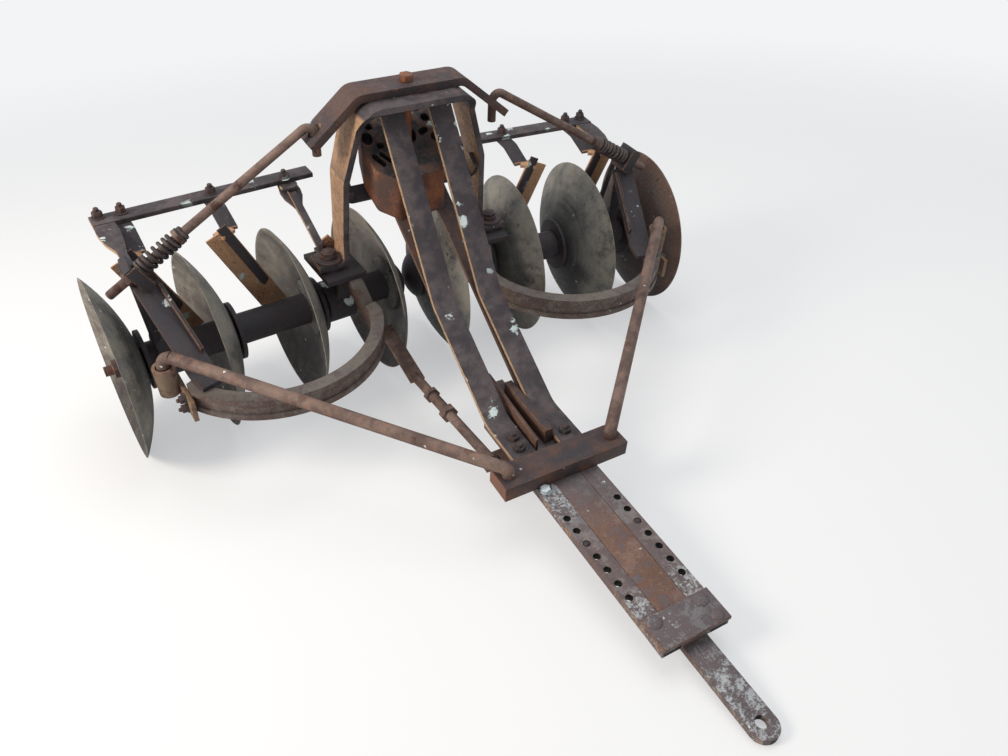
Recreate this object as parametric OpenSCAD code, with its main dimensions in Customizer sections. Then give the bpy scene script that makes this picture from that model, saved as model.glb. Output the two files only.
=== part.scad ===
// Two-gang single-action disc harrow, parked with its tongue on the ground.
// +Z up, +X towards the right-hand gang, the hitch points along -Y.
// Everything is drawn with the frame level and then tipped by park().

/* [Discs] */
// Diameter of a disc
disc_d = 610; // [560:5:640]
// Thickness of a disc
disc_t = 6; // [5:0.5:9]
// Depth of the dish
dish = 95; // [85:5:105]
// Distance between discs along the axle
disc_pitch = 300; // [296:1:304]

/* [Gangs] */
// Distance from the middle to the outermost rim
rim_x = 1043; // [1040:1:1060]
// Angle of the gangs as parked, outer ends forward
gang_angle = 4; // [3:0.5:5]
// Side of the square axle
axle_sq = 35; // [30:1:40]
// Diameter of the spools
spool_d = 108; // [100:2:112]
// Diameter of the spool flanges
flange_d = 200; // [180:5:210]
// Thickness of the spool flanges
flange_t = 14; // [10:1:18]
// Diameter of the bearing housings
bearing_d = 150; // [140:5:156]
// Length of the bearing housings
bearing_w = 100; // [80:5:110]
// Place of the outer bearing, in from the outermost rim
outer_bearing_u = 190; // [185:1:195]
// Place of the inner bearing, in from the outermost rim
inner_bearing_u = 775; // [770:1:780]

/* [Gang frames] */
// King pin, in from the outermost rim
king_u = 734; // [732:1:736]
// King pin, ahead of the axle
king_v = 81; // [78:1:84]
// Diameter of the king pins
king_d = 38; // [34:1:40]
// Height of the mast's feet above the axle
seat_h = 205; // [200:1:210]
// Height of the yoke bar
yoke_h = 76; // [70:2:80]
// Width of the yoke bar
yoke_w = 42; // [36:1:46]
// Height of the yoke's middle above the axle
yoke_z = 78; // [76:1:80]
// Radius of the yoke's large bend
yoke_r = 345; // [342:1:350]
// Radius of the yoke's inner bend
yoke_r2 = 120; // [116:1:124]

/* [Scraper bars] */
// Height of the scraper bar's top above the axle
bar_h = 345; // [342:1:350]
// Middle of the scraper bar, behind the axle
bar_v = 325; // [320:1:330]
// Width of the scraper bar
bar_w = 64; // [56:2:70]
// Thickness of the scraper bar
bar_t = 16; // [14:1:18]
// Width of a scraper's blade
blade_w = 88; // [80:1:92]
// Thickness of a scraper's blade
blade_t = 6; // [5:0.5:8]

/* [Mast] */
// Height of the arch's top above the axle
arch_h = 785; // [780:1:790]
// Width of the arch bar
arch_w = 104; // [96:2:112]
// Thickness of the arch bar
arch_t = 25; // [20:1:28]
// Half length of the arch's flat top
arch_flat = 175; // [172:1:180]
// Length of the arch's sloping ends
arch_end = 205; // [195:5:215]
// Slope of the arch's ends
arch_slope = 40; // [38:0.5:42]
// Thickness of the mast legs
leg_t = 20; // [16:1:22]
// Thickness of the draw bars
draw_t = 14; // [12:1:16]
// Width of the upper draw bars
draw_w = 76; // [70:2:80]
// Distance from the middle to an upper draw bar's middle
draw_x = 80; // [78:1:84]
// Width of the lower draw bars
lower_w = 60; // [54:2:62]
// Distance from the middle to a lower draw bar's middle
lower_x = 73; // [72:1:76]

/* [Ballast] */
// Upright height of the ballast casting
cast_h = 142; // [136:1:146]
// Diameter of the bolt through arch, mast and casting
bolt_d = 25; // [20:1:26]

/* [Hitch] */
// Distance from the axle to the tongue's tip
hitch_l = 1930; // [1925:1:1940]
// Half width across the hitch
hitch_half = 103; // [101:1:106]
// Thickness of the hitch bars
hitch_t = 25; // [20:1:28]
// Height of the hitch's top face above the axle
hitch_top = 5; // [2:1:8]
// Distance from hole to hole
hole_pitch = 48; // [46:1:50]
// Diameter of the hitch holes
hole_d = 21; // [18:1:24]
// Number of holes in each row
hole_n = 7; // [6:1:8]
// Place of the first hole ahead of the axle
hole_y = 1198; // [1190:1:1206]
// Distance from the middle to a row of holes
hole_x = 84; // [80:1:86]
// Diameter of the eye
eye_d = 32; // [25:1:40]
// Width of the tongue
tongue_w = 76; // [70:1:84]
// Thickness of the tongue
tongue_t = 20; // [16:1:24]

/* [Crossbar and rods] */
// Length of the crossbar
cross_l = 410; // [400:5:430]
// Width of the crossbar
cross_w = 90; // [80:1:94]
// Thickness of the crossbar
cross_t = 50; // [44:1:52]
// Place of the crossbar's middle, ahead of the axle
cross_y = 1025; // [1022:1:1030]
// Distance from the middle to a rod's bore
rod_in_x = 171; // [168:1:174]
// Diameter of the rods
rod_d = 38; // [34:1:40]
// Distance from the middle to a rod's socket
sock_x = 911; // [908:1:914]
// Sockets, ahead of the axle
sock_y = 267; // [264:1:270]
// Height of the rod's outer end above the axle
rod_out_h = 205; // [202:1:210]
// Room around the rod's end in its socket
sock_gap = 4; // [4:0.5:5]

/* [Spring rods] */
// Diameter of the spring rods
spring_rod_d = 28; // [24:1:30]
// Height of the spring rod's upper bend above the axle
rod_top = 710; // [706:1:716]
// Outer diameter of the springs
spring_d = 58; // [50:1:62]
// Length of the springs
spring_l = 150; // [130:5:160]

/* [Hidden] */
$fn = 48;

// Discs in a gang
disc_n = 4;
disc_r = disc_d / 2;
dish_r = (disc_r * disc_r + dish * dish) / (2 * dish);
// A straight stretch runs this far into a bend, and a bend is this much fatter
lap = 0.6;
fat = 0.1;
// Room between pieces of one body that touch, and across a pin's diameter
seat = 0.3;
pin_fit = 0.15;
tongue_under = hitch_top - hitch_t - tongue_t;
// Tip of the whole frame that puts the tongue on the ground
tip_far = sqrt(hitch_l * hitch_l + tongue_under * tongue_under);
pitch = asin(disc_r / tip_far) - atan2(-tongue_under, hitch_l);
// Half way between the tongue's tip and the back of the innermost discs
tip_y = -hitch_l * cos(pitch) - (hitch_top - hitch_t - seat) * sin(pitch);
rear_y = (disc_n - 1) * disc_pitch * sin(gang_angle) * cos(pitch)
    + disc_r * sqrt(1 - pow(sin(gang_angle) * cos(pitch), 2));
shift_y = -(tip_y + rear_y) / 2;

// A place in the level frame as one in the gang's own frame
function local(x, y) = [(x - rim_x) * cos(gang_angle) - y * sin(gang_angle),
    (x - rim_x) * sin(gang_angle) + y * cos(gang_angle)];
// Hub face places of the discs, in from the outermost rim
function hub_u(i) = -i * disc_pitch - dish;
// Depth of a disc's curve at a distance from its middle
function sag(r) = dish_r - sqrt(dish_r * dish_r - r * r);
function dir(a) = [cos(a), sin(a)];

king_x = rim_x - king_u * cos(gang_angle) - king_v * sin(gang_angle);
king_y = king_u * sin(gang_angle) - king_v * cos(gang_angle);
flange_lift = disc_t + sag(flange_d / 2) + seat;

yoke_c = [-470, -182];
yoke_a0 = -25;
yoke_a1 = -160;
yoke_a2 = -190;
yoke_c2 = yoke_c + (yoke_r - yoke_r2) * dir(yoke_a1);
yoke_end = yoke_c2 + yoke_r2 * dir(yoke_a2);
yoke_top = yoke_z + yoke_h / 2;

// Flat plate of the inner standard, and the boss under the mast's foot
plate_t = 19;
plate_z = seat_h - 10;
// Eye plate of the outer standard, where the spring rod passes
eye_p = [-140, -42, bar_h - 2];
eye_t = 24;
rod_run = [eye_p[0] + king_u, eye_p[1] + king_v];
rod_head = atan2(rod_run[1], rod_run[0]);
rod_drop = atan2(rod_top - eye_p[2], norm(rod_run));
rod_slant = norm([norm(rod_run), rod_top - eye_p[2]]);
hang_t = 12;
sock = local(sock_x, -sock_y);
sock_z = 62;
sock_h = 100;
sock_d = rod_d + 2 * sock_gap;
// Outer face of the plate that holds the socket to the yoke
sock_face = -154;

bow_z = arch_h - arch_t - leg_t / 2 - seat;
foot_z = seat_h + leg_t / 2;
// Half width across the bow's upper corners
bow_half = 173;
// Slight bend of the mast legs
knee_z = bow_z - 237;
tab_z = bow_z - leg_t / 2 - draw_t / 2 - seat;
low_z = hitch_top + draw_t / 2 + seat;
up_z = low_z + draw_t + seat;
low_top = [0, arch_h - 308.1];
low_foot = [757, low_z];
bar_slope = atan2(low_top[1] - low_foot[1], low_foot[0] - low_top[0]);
// Middle bend of the upper draw bars, just above the lower ones
draw_bend = [444, low_top[1] - 444 * tan(bar_slope) + 31.6];
tie_t = 14;
tie_z = low_top[1] + king_y * tan(bar_slope) - (draw_t / 2 + seat + tie_t / 2) / cos(bar_slope);
// Seat of the casting on the lower bars, at a distance ahead of the axle
cast_y = 165;
cast_z = low_top[1] - (cast_y - low_top[0]) * tan(bar_slope)
    + (draw_t / 2 + seat) / cos(bar_slope);

bend_r = 42;
low_bend_r = 24;
rod_in_h = hitch_top + cross_t + seat + low_bend_r + 2;

// From the level frame, origin on the axle line, to the ground
module park() {
    translate([0, shift_y, disc_r]) rotate([pitch, 0, 0]) children();
}
// Right-hand pieces as drawn, left-hand pieces mirrored
module side(s) {
    if (s > 0) children();
    if (s < 0) mirror([1, 0, 0]) children();
}
// The gang's own frame: x out along the axle from the outermost rim, y back
module gang(s) {
    park() side(s) translate([rim_x, 0, 0]) rotate([0, 0, -gang_angle]) children();
}
// Turns a drawing in the x-y plane upright: its x forward, or across the part
module upright_forward() {
    rotate([90, 0, -90]) children();
}
module upright_across() {
    rotate([90, 0, 0]) children();
}

// Flat bar from a to b, w wide and t thick, turned by roll about its length
module strap(a, b, w, t, roll = 0) {
    d = b - a;
    len = norm(d);
    translate(a) rotate([0, -asin(d[2] / len), atan2(d[1], d[0])])
        rotate([roll, 0, 0]) translate([0, -w / 2, -t / 2]) cube([len, w, t]);
}
// Round bar from a to b
module bar(a, b, d) {
    v = b - a;
    translate(a) rotate([0, acos(v[2] / norm(v)), atan2(v[1], v[0])])
        cylinder(d = d, h = norm(v));
}
// Cylinder along x from u0 to u1
module drum(u0, u1, d) {
    translate([u0, 0, 0]) rotate([0, 90, 0]) cylinder(d = d, h = u1 - u0);
}

function heading(p, i) = atan2(p[i + 1][1] - p[i][1], p[i + 1][0] - p[i][0]);
function turn(p, i) = heading(p, i) - heading(p, i - 1);
function trim(p, r, i) = i == 0 || i == len(p) - 1 ? 0 : r[i] * tan(abs(turn(p, i)) / 2);
// Flat bar bent along the places p in the x-y plane, w wide along z, with a
// middle radius r at each place
module bent_strap(p, w, t, r) {
    for (i = [0 : len(p) - 2]) {
        from = i == 0 ? 0 : trim(p, r, i) - lap;
        to = norm(p[i + 1] - p[i]) - (i == len(p) - 2 ? 0 : trim(p, r, i + 1) - lap);
        translate([p[i][0], p[i][1], 0]) rotate([0, 0, heading(p, i)])
            translate([from, -t / 2, -w / 2]) cube([to - from, t, w]);
    }
    for (i = [1 : len(p) - 2]) {
        h = heading(p, i - 1);
        a = turn(p, i);
        s = a > 0 ? 1 : -1;
        c = p[i] - trim(p, r, i) * dir(h) + s * r[i] * [-sin(h), cos(h)];
        translate([c[0], c[1], 0]) rotate([0, 0, s > 0 ? h - 90 : h + 90 + a])
            rotate_extrude(angle = abs(a), $fn = 64) translate([r[i], 0])
                square([t + fat, w + fat], center = true);
    }
}

// A dished disc with its rim plane at x = 0 and its hub at x = -dish
module disc() {
    rotate([0, 90, 0]) difference() {
        intersection() {
            translate([0, 0, dish_r - dish]) sphere(r = dish_r, $fn = 96);
            translate([0, 0, -dish]) cylinder(r = disc_r, h = dish, $fn = 96);
        }
        translate([0, 0, dish_r - dish + disc_t]) sphere(r = dish_r, $fn = 96);
        translate([0, 0, -dish - 1]) cylinder(d = axle_sq * 1.42 + 2, h = disc_t + 4);
    }
}
module discs(s) color("dimgray") gang(s)
    for (i = [0 : disc_n - 1]) translate([-i * disc_pitch, 0, 0]) disc();

axle_in = hub_u(disc_n - 1) - 30;
nut_u = hub_u(0) + 54;
module axle(s) color("saddlebrown") gang(s) {
    translate([axle_in, -axle_sq / 2, -axle_sq / 2])
        cube([nut_u + 10 - axle_in, axle_sq, axle_sq]);
    drum(nut_u, nut_u + 40, 66, $fn = 6);
    drum(nut_u + 36, nut_u + 66, axle_sq - 2);
}
module square_bore(u0, u1)
    translate([u0 - 1, -axle_sq / 2 - seat, -axle_sq / 2 - seat])
        cube([u1 - u0 + 2, axle_sq + 2 * seat, axle_sq + 2 * seat]);
module spool(u0, u1) difference() {
    union() {
        drum(u0, u1, spool_d);
        drum(u0, u0 + flange_t, flange_d);
        drum(u1 - flange_t, u1, flange_d);
    }
    square_bore(u0, u1);
}
// Outer washer, spools between the discs, and the inner bumper
bumper_l = 46;
bumper_r = 110;
module spools(s) color("dimgray") gang(s) {
    difference() {
        union() {
            drum(hub_u(0) + flange_lift, hub_u(0) + flange_lift + 10, flange_d);
            drum(hub_u(0) + flange_lift, nut_u - seat, 120);
        }
        square_bore(hub_u(0), nut_u);
    }
    for (i = [0 : disc_n - 2]) spool(hub_u(i + 1) + flange_lift, hub_u(i) - seat);
    difference() {
        intersection() {
            translate([hub_u(disc_n - 1) - bumper_l + bumper_r, 0, 0]) sphere(r = bumper_r, $fn = 64);
            drum(hub_u(disc_n - 1) - bumper_l - 1, hub_u(disc_n - 1) - seat, 170);
        }
        square_bore(axle_in, hub_u(disc_n - 1));
    }
}

module yoke_arc(c, r, a0, a1, more) {
    translate([c[0], c[1], yoke_z]) rotate([0, 0, a1])
        rotate_extrude(angle = a0 - a1, $fn = 96) translate([r, 0]) difference() {
            square([yoke_w + more, yoke_h + more], center = true);
            translate([yoke_w / 2 - 6 + more / 2, -yoke_h / 4 + more / 2])
                square([13, yoke_h / 2 - more]);
        }
}
arm_t = 40;
module yoke(s) color("rosybrown") gang(s) {
    difference() {
        yoke_arc(yoke_c, yoke_r, yoke_a0, yoke_a1, 0);
        translate([sock_face - seat, yoke_c[1] - yoke_r, 0]) cube([60, yoke_r, 200]);
    }
    yoke_arc(yoke_c2, yoke_r2, yoke_a1 + 0.3, yoke_a2, fat);
    // Arm up to the underside of the inner standard's plate
    translate([yoke_end[0], yoke_end[1], 0]) rotate([90, 0, yoke_a2 - 90 + 360])
        bent_strap([[-14, yoke_z], [10, yoke_z], [72, plate_z - plate_t - arm_t / 2 - seat],
            [118, plate_z - plate_t - arm_t / 2 - seat]], yoke_w, arm_t, [0, 24, 24, 0]);
}

leg_from = [-160, -60];
leg_turn = -101.3;
module outer_standard(s) color("dimgray") gang(s) difference() {
    union() {
        drum(-outer_bearing_u - bearing_w / 2, -outer_bearing_u + bearing_w / 2, bearing_d);
        translate(eye_p) rotate([0, rod_drop, rod_head]) cube([eye_t, 90, 90], center = true);
        // Wide front leg with its foot on the yoke
        translate([leg_from[0], leg_from[1], 0]) rotate([90, 0, leg_turn])
            bent_strap([[-8, bar_h - 41], [255, yoke_top + 7 + seat], [330, yoke_top + 7 + seat]],
                80, 14, [0, 24, 0]);
        // Rear leg and thin outer strap, both to the bearing
        strap([-outer_bearing_u, 50, 50], [-145, 22, bar_h - 21], 50, 14);
        strap([-150, -22, 62], [-132, -2, bar_h - 24], 30, 12);
        translate([-168, -6, bar_h - 27]) cube([60, 58, 12]);
    }
    drum(-outer_bearing_u - bearing_w, -outer_bearing_u + bearing_w, spool_d + pin_fit);
    translate(eye_p) rotate([0, rod_drop, rod_head]) drum(-60, 60, spring_rod_d + 2);
}
module inner_standard(s) color("dimgray") gang(s) difference() {
    union() {
        drum(-inner_bearing_u - bearing_w / 2, -inner_bearing_u + bearing_w / 2, bearing_d);
        strap([-inner_bearing_u - 18, -54, 40], [-inner_bearing_u - 18, -98, plate_z - 6], 70, 14);
        strap([-inner_bearing_u - 18, 54, 40], [-inner_bearing_u - 18, 10, plate_z - 6], 70, 14);
        translate([-830, -165, plate_z - plate_t]) cube([140, 200, plate_t]);
        translate([-king_u, -king_v, plate_z - 1]) cylinder(d = 74, h = seat_h - seat - plate_z + 1);
    }
    drum(-inner_bearing_u - bearing_w, -inner_bearing_u + bearing_w, spool_d + pin_fit);
    translate([-king_u, -king_v, plate_z - 60]) cylinder(d = king_d + pin_fit, h = 90);
}
module king_pin(s) color("saddlebrown") gang(s) translate([-king_u, -king_v, 0]) {
    translate([0, 0, seat_h - 60]) cylinder(d = king_d, h = 60 + leg_t + seat + 10);
    translate([0, 0, seat_h + leg_t + seat]) cylinder(d = 52, h = 20);
}

module rod_socket(s) color("tan") gang(s) difference() {
    union() {
        translate([sock[0], sock[1], sock_z]) cylinder(d1 = sock_d + 14, d2 = sock_d + 22, h = sock_h);
        translate([sock_face, -400, 25]) cube([14, 160, 72]);
    }
    translate([sock[0], sock[1], sock_z - 60]) cylinder(d = sock_d, h = sock_h + 100);
}

module scraper_bar(s) color("dimgray") gang(s) {
    translate([-855, bar_v - bar_w / 2, bar_h - bar_t]) cube([755, bar_w, bar_t]);
    // Outer hanger, a level spoon from the bar onto the outer standard
    translate([0, 0, bar_h - 15 + seat]) linear_extrude(height = hang_t)
        polygon([[-152, 8], [-128, 8], [-124, 110], [-106, 170], [-98, 240], [-102, bar_v],
            [-166, bar_v], [-170, 240], [-164, 170], [-152, 100]]);
    // Inner hanger: a round head under the bar and a narrow strap down to a foot
    // on the inner standard's plate
    translate([-756, bar_v - 42, bar_h - bar_t - hang_t + 1]) cylinder(d = 62, h = hang_t);
    translate([-756, 0, 0]) rotate([90, 0, 90])
        bent_strap([[20, plate_z + hang_t / 2 + seat], [36, plate_z + hang_t / 2 + seat],
            [288, bar_h - bar_t - hang_t / 2 + 1], [bar_v + 20, bar_h - bar_t - hang_t / 2 + 1]],
            26, hang_t, [0, 16, 16, 0]);
    translate([-781, 2, plate_z + seat]) cube([50, 36, hang_t]);
}
// Scrapers of the second and third discs: arm place, and shift of the blade
SCRAPERS = [
    // arm, blade
    [-190, 300],
    [-490, 0]];
module scrapers(s) color("saddlebrown") gang(s) for (q = SCRAPERS) {
    tab = bar_h - bar_t - hang_t / 2 - seat;
    top = [q[1] - 436, 118, bar_h - 40];
    low = [q[1] - 590, 106, -20];
    translate([q[0], 0, 0]) rotate([90, 0, 90])
        bent_strap([[150, tab - 30], [250, tab], [bar_v + 20, tab]], 54, hang_t, [0, 20, 0]);
    strap([q[0], 152, tab - 30], [q[1] - 440, 121, bar_h - 53], 44, hang_t);
    // Blade across the dish, with a rib down its inner edge
    strap(top, low, blade_w, blade_t, 90);
    strap(top + [-30, 6, -14], low + [-30, 6, 14], 16, 14, 90);
}

// Spring rod: hooked through the arch over the king pin, out through the eye plate
hook_r = 24;
hook_trim = hook_r * tan((90 + rod_drop) / 2);
module spring_rod(s) color("dimgray") gang(s)
    translate([-king_u, -king_v, 0]) rotate([90, 0, rod_head]) {
        rod_low = 600;
        translate([0, rod_low, 0]) rotate([-90, 0, 0])
            cylinder(d = spring_rod_d, h = rod_top - hook_trim - rod_low + lap);
        translate([hook_r, rod_top - hook_trim, 0]) rotate([0, 0, 90 - rod_drop])
            rotate_extrude(angle = 90 + rod_drop) translate([hook_r, 0])
                circle(d = spring_rod_d + fat);
        translate([0, rod_top, 0]) rotate([0, 0, -rod_drop]) {
            drum(hook_trim - lap, rod_slant + 95, spring_rod_d);
            drum(rod_slant - eye_t / 2 - 2 * seat - spring_l - 14,
                rod_slant - eye_t / 2 - 2 * seat - spring_l, spring_d - 6);
            drum(rod_slant + eye_t / 2 + seat, rod_slant + eye_t / 2 + 24, 46, $fn = 6);
        }
    }
module spring(s) color("black") gang(s)
    translate(eye_p) rotate([0, rod_drop, rod_head]) difference() {
        drum(-eye_t / 2 - seat - spring_l, -eye_t / 2 - seat, spring_d);
        drum(-eye_t / 2 - spring_l - 9, 0, spring_rod_d + 4);
    }

module arch_bar() color("saddlebrown") park() translate([0, king_y, 0]) difference() {
    top = arch_h - arch_t / 2;
    far = arch_flat + arch_end * cos(arch_slope);
    low = top - arch_end * sin(arch_slope);
    upright_across() bent_strap([[-far, low], [-arch_flat, top], [arch_flat, top], [far, low]],
        arch_w, arch_t, [0, 45, 45, 0]);
    for (s = [-1, 1]) side(s) translate([king_x, 0, arch_h - 250]) cylinder(d = 42, h = 250);
    translate([0, 0, arch_h - 60]) cylinder(d = bolt_d + 2, h = 90);
}
module mast_bow() color("dimgray") park() difference() {
    intersection() {
        upright_across() bent_strap([[-350, foot_z], [-255, foot_z], [-240, knee_z],
            [-bow_half, bow_z], [bow_half, bow_z], [240, knee_z], [255, foot_z], [350, foot_z]], 400, leg_t,
            [0, 24, 60, 58, 58, 60, 24, 0]);
        // Side outline, wide at the top and narrow at the feet
        rotate([90, 0, 90]) linear_extrude(height = 800, center = true)
            polygon([[-147, arch_h], [-147, bow_z - 8], [-104, bow_z - 62], [-66, foot_z + 85],
                [-72, seat_h - 15],
                [22, seat_h - 15], [30, foot_z + 85], [34, bow_z - 110], [34, arch_h]]);
    }
    translate([0, king_y, arch_h - 90]) cylinder(d = bolt_d + 2, h = 90);
    for (s = [-1, 1]) side(s) translate([king_x, king_y, seat_h - 10])
        cylinder(d = king_d + 2 * seat, h = 60);
}
module mast_tie() color("dimgray") park() difference() {
    translate([0, king_y, tie_z]) rotate([bar_slope, 0, 0]) upright_across()
        bent_strap([[-222.8, 58], [-225.4, 0], [225.4, 0], [222.8, 58]], 56, tie_t,
            [0, 20, 20, 0]);
    translate([0, king_y, tie_z - 30]) cylinder(d = bolt_d + 2, h = 60);
}

module draw_bar(s) color("dimgray") park() side(s) translate([draw_x, 0, 0]) upright_forward()
    bent_strap([[-8, tab_z], [82, tab_z], draw_bend, [800, up_z], [965, up_z]], draw_w, draw_t,
        [0, 25, 90, 90, 0]);
module lower_bar(s) color("dimgray") park() side(s) translate([lower_x, 0, 0]) upright_forward()
    bent_strap([low_top, low_foot, [940, low_z]], lower_w, draw_t, [0, 60, 0]);
// Bars on edge between the draw bars: from, to, thickness
EDGE_BARS = [
    // x, y, x, y, thick
    [-13, -620, -29, -945, 10],
    [24, -680, 24, -925, 26]];
module centre_bars() color("dimgray") park() for (q = EDGE_BARS)
    strap([q[0], q[1], hitch_top + seat + 27], [q[2], q[3], hitch_top + seat + 27], 54, q[4], 90);

// Deck and sides of the ballast casting: a slab on the lower bars, cut to its plan
PLAN = [[-164, -40], [-152, -116], [-92, -160], [66, -154], [108, -65],
    [116, 46], [87, 119], [-57, 119], [-146, 44]];
corner_r = 22;
corner_steps = 4;
function unit(a, b) = (b - a) / norm(b - a);
// One corner of a closed outline as an arc
function corner(p, i, r) = let (n = len(p), back = unit(p[i], p[(i + n - 1) % n]),
    on = unit(p[i], p[(i + 1) % n]), half = acos(back * on) / 2, cut = r / tan(half),
    mid = p[i] + (back + on) / norm(back + on) * r / sin(half),
    a = p[i] + back * cut - mid, b = p[i] + on * cut - mid)
    [for (k = [0 : corner_steps]) let (w = k / corner_steps, v = a * (1 - w) + b * w)
        mid + v * r / norm(v)];
function rounded(p, r) = [for (i = [0 : len(p) - 1]) each corner(p, i, r)];
// Openings in the deck
POCKETS = [
    // x, y, width, length, turn
    [-54, 74, 30, 44, 20],
    [-116, 17, 20, 24, 0],
    [-136, -18, 34, 38, 70],
    [-104, -46, 18, 22, 0],
    [-128, -88, 16, 50, -55],
    [-102, -84, 13, 44, -50],
    [-80, -122, 18, 24, -20],
    [66, 50, 22, 26, 0],
    [80, 14, 24, 28, 10],
    [54, -26, 18, 34, 20],
    [86, -50, 26, 30, 30]];
module pocket(w, l)
    linear_extrude(height = 200) polygon(rounded([[-l / 2, -w / 2], [l / 2, -w / 2],
        [l / 2, w / 2], [-l / 2, w / 2]], w / 2 - 1));
module ballast_casting() color("sienna") park() difference() {
    deck = cast_z + cast_h;
    intersection() {
        translate([0, 0, 300]) linear_extrude(height = 500) polygon(rounded(PLAN, corner_r));
        translate([0, -cast_y, cast_z]) rotate([bar_slope, 0, 0]) translate([-250, -300, 0])
            cube([500, 800, cast_h * cos(bar_slope)]);
    }
    for (q = POCKETS) translate([q[0], q[1], deck + (q[1] + cast_y) * tan(bar_slope) - 60])
        rotate([0, 0, q[4]]) pocket(q[2], q[3]);
    translate([0, king_y, 300]) cylinder(d = bolt_d + 2, h = 500);
    translate([0, king_y, deck + (king_y + cast_y) * tan(bar_slope) - 24]) cylinder(d = 50, h = 200);
}
module centre_bolt() color("saddlebrown") park() translate([0, king_y, 0]) {
    nut_top = tie_z - tie_t / 2 / cos(bar_slope) - 23 * tan(bar_slope) - seat;
    translate([0, 0, nut_top - 28]) cylinder(d = bolt_d, h = arch_h + 38 - nut_top);
    translate([0, 0, arch_h + seat]) cylinder(d = 46, h = 20, $fn = 6);
    translate([0, 0, nut_top - 20]) cylinder(d = 46, h = 20, $fn = 6);
}

hitch_in = 45.3;
// The bars' front end, and the rear ends of the side bars and the centre bar
hitch_front = 280 - hitch_l;
side_rear = -760;
centre_rear = -610;
module holes(s) for (i = [0 : hole_n - 1])
    translate([s * hole_x, -hole_y - i * hole_pitch, hitch_top - 40]) cylinder(d = hole_d, h = 80);
module hitch_side(s) color("rosybrown") park() side(s) difference() {
    translate([hitch_in + seat, hitch_front, hitch_top - hitch_t])
        cube([hitch_half - hitch_in - seat, side_rear - hitch_front, hitch_t]);
    holes(1);
}
module hitch_centre_bar() color("rosybrown") park()
    translate([-hitch_in, hitch_front, hitch_top - hitch_t])
        cube([2 * hitch_in, centre_rear - hitch_front, hitch_t]);
module front_plate() color("rosybrown") park()
    translate([-hitch_half, hitch_front - 5, hitch_top + seat]) cube([2 * hitch_half, 98, 12]);
module tongue() color("rosybrown") park() difference() {
    union() {
        translate([-tongue_w / 2, -hitch_l + tongue_w / 2, tongue_under])
            cube([tongue_w, 330, tongue_t - seat]);
        translate([0, -hitch_l + tongue_w / 2, tongue_under])
            cylinder(d = tongue_w, h = tongue_t - seat);
    }
    translate([0, -hitch_l + 46, tongue_under - 5]) cylinder(d = eye_d, h = 40);
}
// Link under the left-hand side: flat tab, round bar, flat end
module draft_link() color("rosybrown") park() {
    under = hitch_top - hitch_t - seat;
    translate([-180, -920, under - 12]) cube([120, 60, 12]);
    bar([-152, -895, -14], [-184, -430, -30], 32);
    strap([-184, -455, -31], [-175, -170, -10], 50, 12);
}

module crossbar() color("rosybrown") park() difference() {
    translate([-cross_l / 2, -cross_y - cross_w / 2, hitch_top + seat])
        cube([cross_l, cross_w, cross_t]);
    for (s = [-1, 1]) side(s) translate([rod_in_x, -cross_y, hitch_top - 20])
        cylinder(d = rod_d + pin_fit, h = 120);
}
// A straight rod with both ends bent down, from a to b, with bends of radii ra, rb
module bent_rod(a, b, d, down_a, down_b, ra, rb) {
    v = b - a;
    long = norm([v[0], v[1]]);
    rise = atan2(v[2] - ra + rb, long);
    translate(a) rotate([0, 0, atan2(v[1], v[0])]) {
        turn_a = 90 + rise;
        turn_b = 90 - rise;
        pa = [ra * (1 - cos(turn_a)), ra * (sin(turn_a) - 1)];
        pb = [long - rb * (1 - cos(turn_b)), v[2] + rb * (sin(turn_b) - 1)];
        translate([0, 0, -ra - down_a]) cylinder(d = d, h = down_a + lap);
        translate([ra, 0, -ra]) rotate([90, 0, 0]) rotate([0, 0, 180 - turn_a])
            rotate_extrude(angle = turn_a) translate([ra, 0]) circle(d = d + fat);
        translate([pa[0], 0, pa[1]]) rotate([0, 90 - atan2(pb[1] - pa[1], pb[0] - pa[0]), 0])
            translate([0, 0, -lap]) cylinder(d = d, h = norm(pb - pa) + 2 * lap);
        translate([long - rb, 0, v[2] - rb]) rotate([90, 0, 0])
            rotate_extrude(angle = turn_b) translate([rb, 0]) circle(d = d + fat);
        translate([long, 0, v[2] - rb - down_b]) cylinder(d = d, h = down_b + lap);
    }
}
module diagonal_rod(s) color("rosybrown") park() side(s)
    bent_rod([rod_in_x, -cross_y, rod_in_h], [sock_x, -sock_y, rod_out_h], rod_d,
        rod_in_h - low_bend_r - hitch_top + 14, 82, low_bend_r, bend_r);

arch_bar();
mast_bow();
mast_tie();
draw_bar(-1);  // draw_bar_left
draw_bar(1);  // draw_bar_right
lower_bar(-1);  // lower_bar_left
lower_bar(1);  // lower_bar_right
centre_bars();
ballast_casting();
centre_bolt();
hitch_side(-1);  // hitch_side_left
hitch_side(1);  // hitch_side_right
hitch_centre_bar();
front_plate();
tongue();
draft_link();
king_pin(-1);  // king_pin_left
king_pin(1);  // king_pin_right
crossbar();
diagonal_rod(-1);  // diagonal_rod_left
diagonal_rod(1);  // diagonal_rod_right
yoke(-1);  // yoke_left
yoke(1);  // yoke_right
outer_standard(-1);  // outer_standard_left
outer_standard(1);  // outer_standard_right
inner_standard(-1);  // inner_standard_left
inner_standard(1);  // inner_standard_right
rod_socket(-1);  // rod_socket_left
rod_socket(1);  // rod_socket_right
scraper_bar(-1);  // scraper_bar_left
scraper_bar(1);  // scraper_bar_right
scrapers(-1);  // scrapers_left
scrapers(1);  // scrapers_right
spring_rod(-1);  // spring_rod_left
spring_rod(1);  // spring_rod_right
spring(-1);  // spring_left
spring(1);  // spring_right
axle(-1);  // axle_left
axle(1);  // axle_right
discs(-1);  // discs_left
discs(1);  // discs_right
spools(-1);  // spools_left
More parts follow.
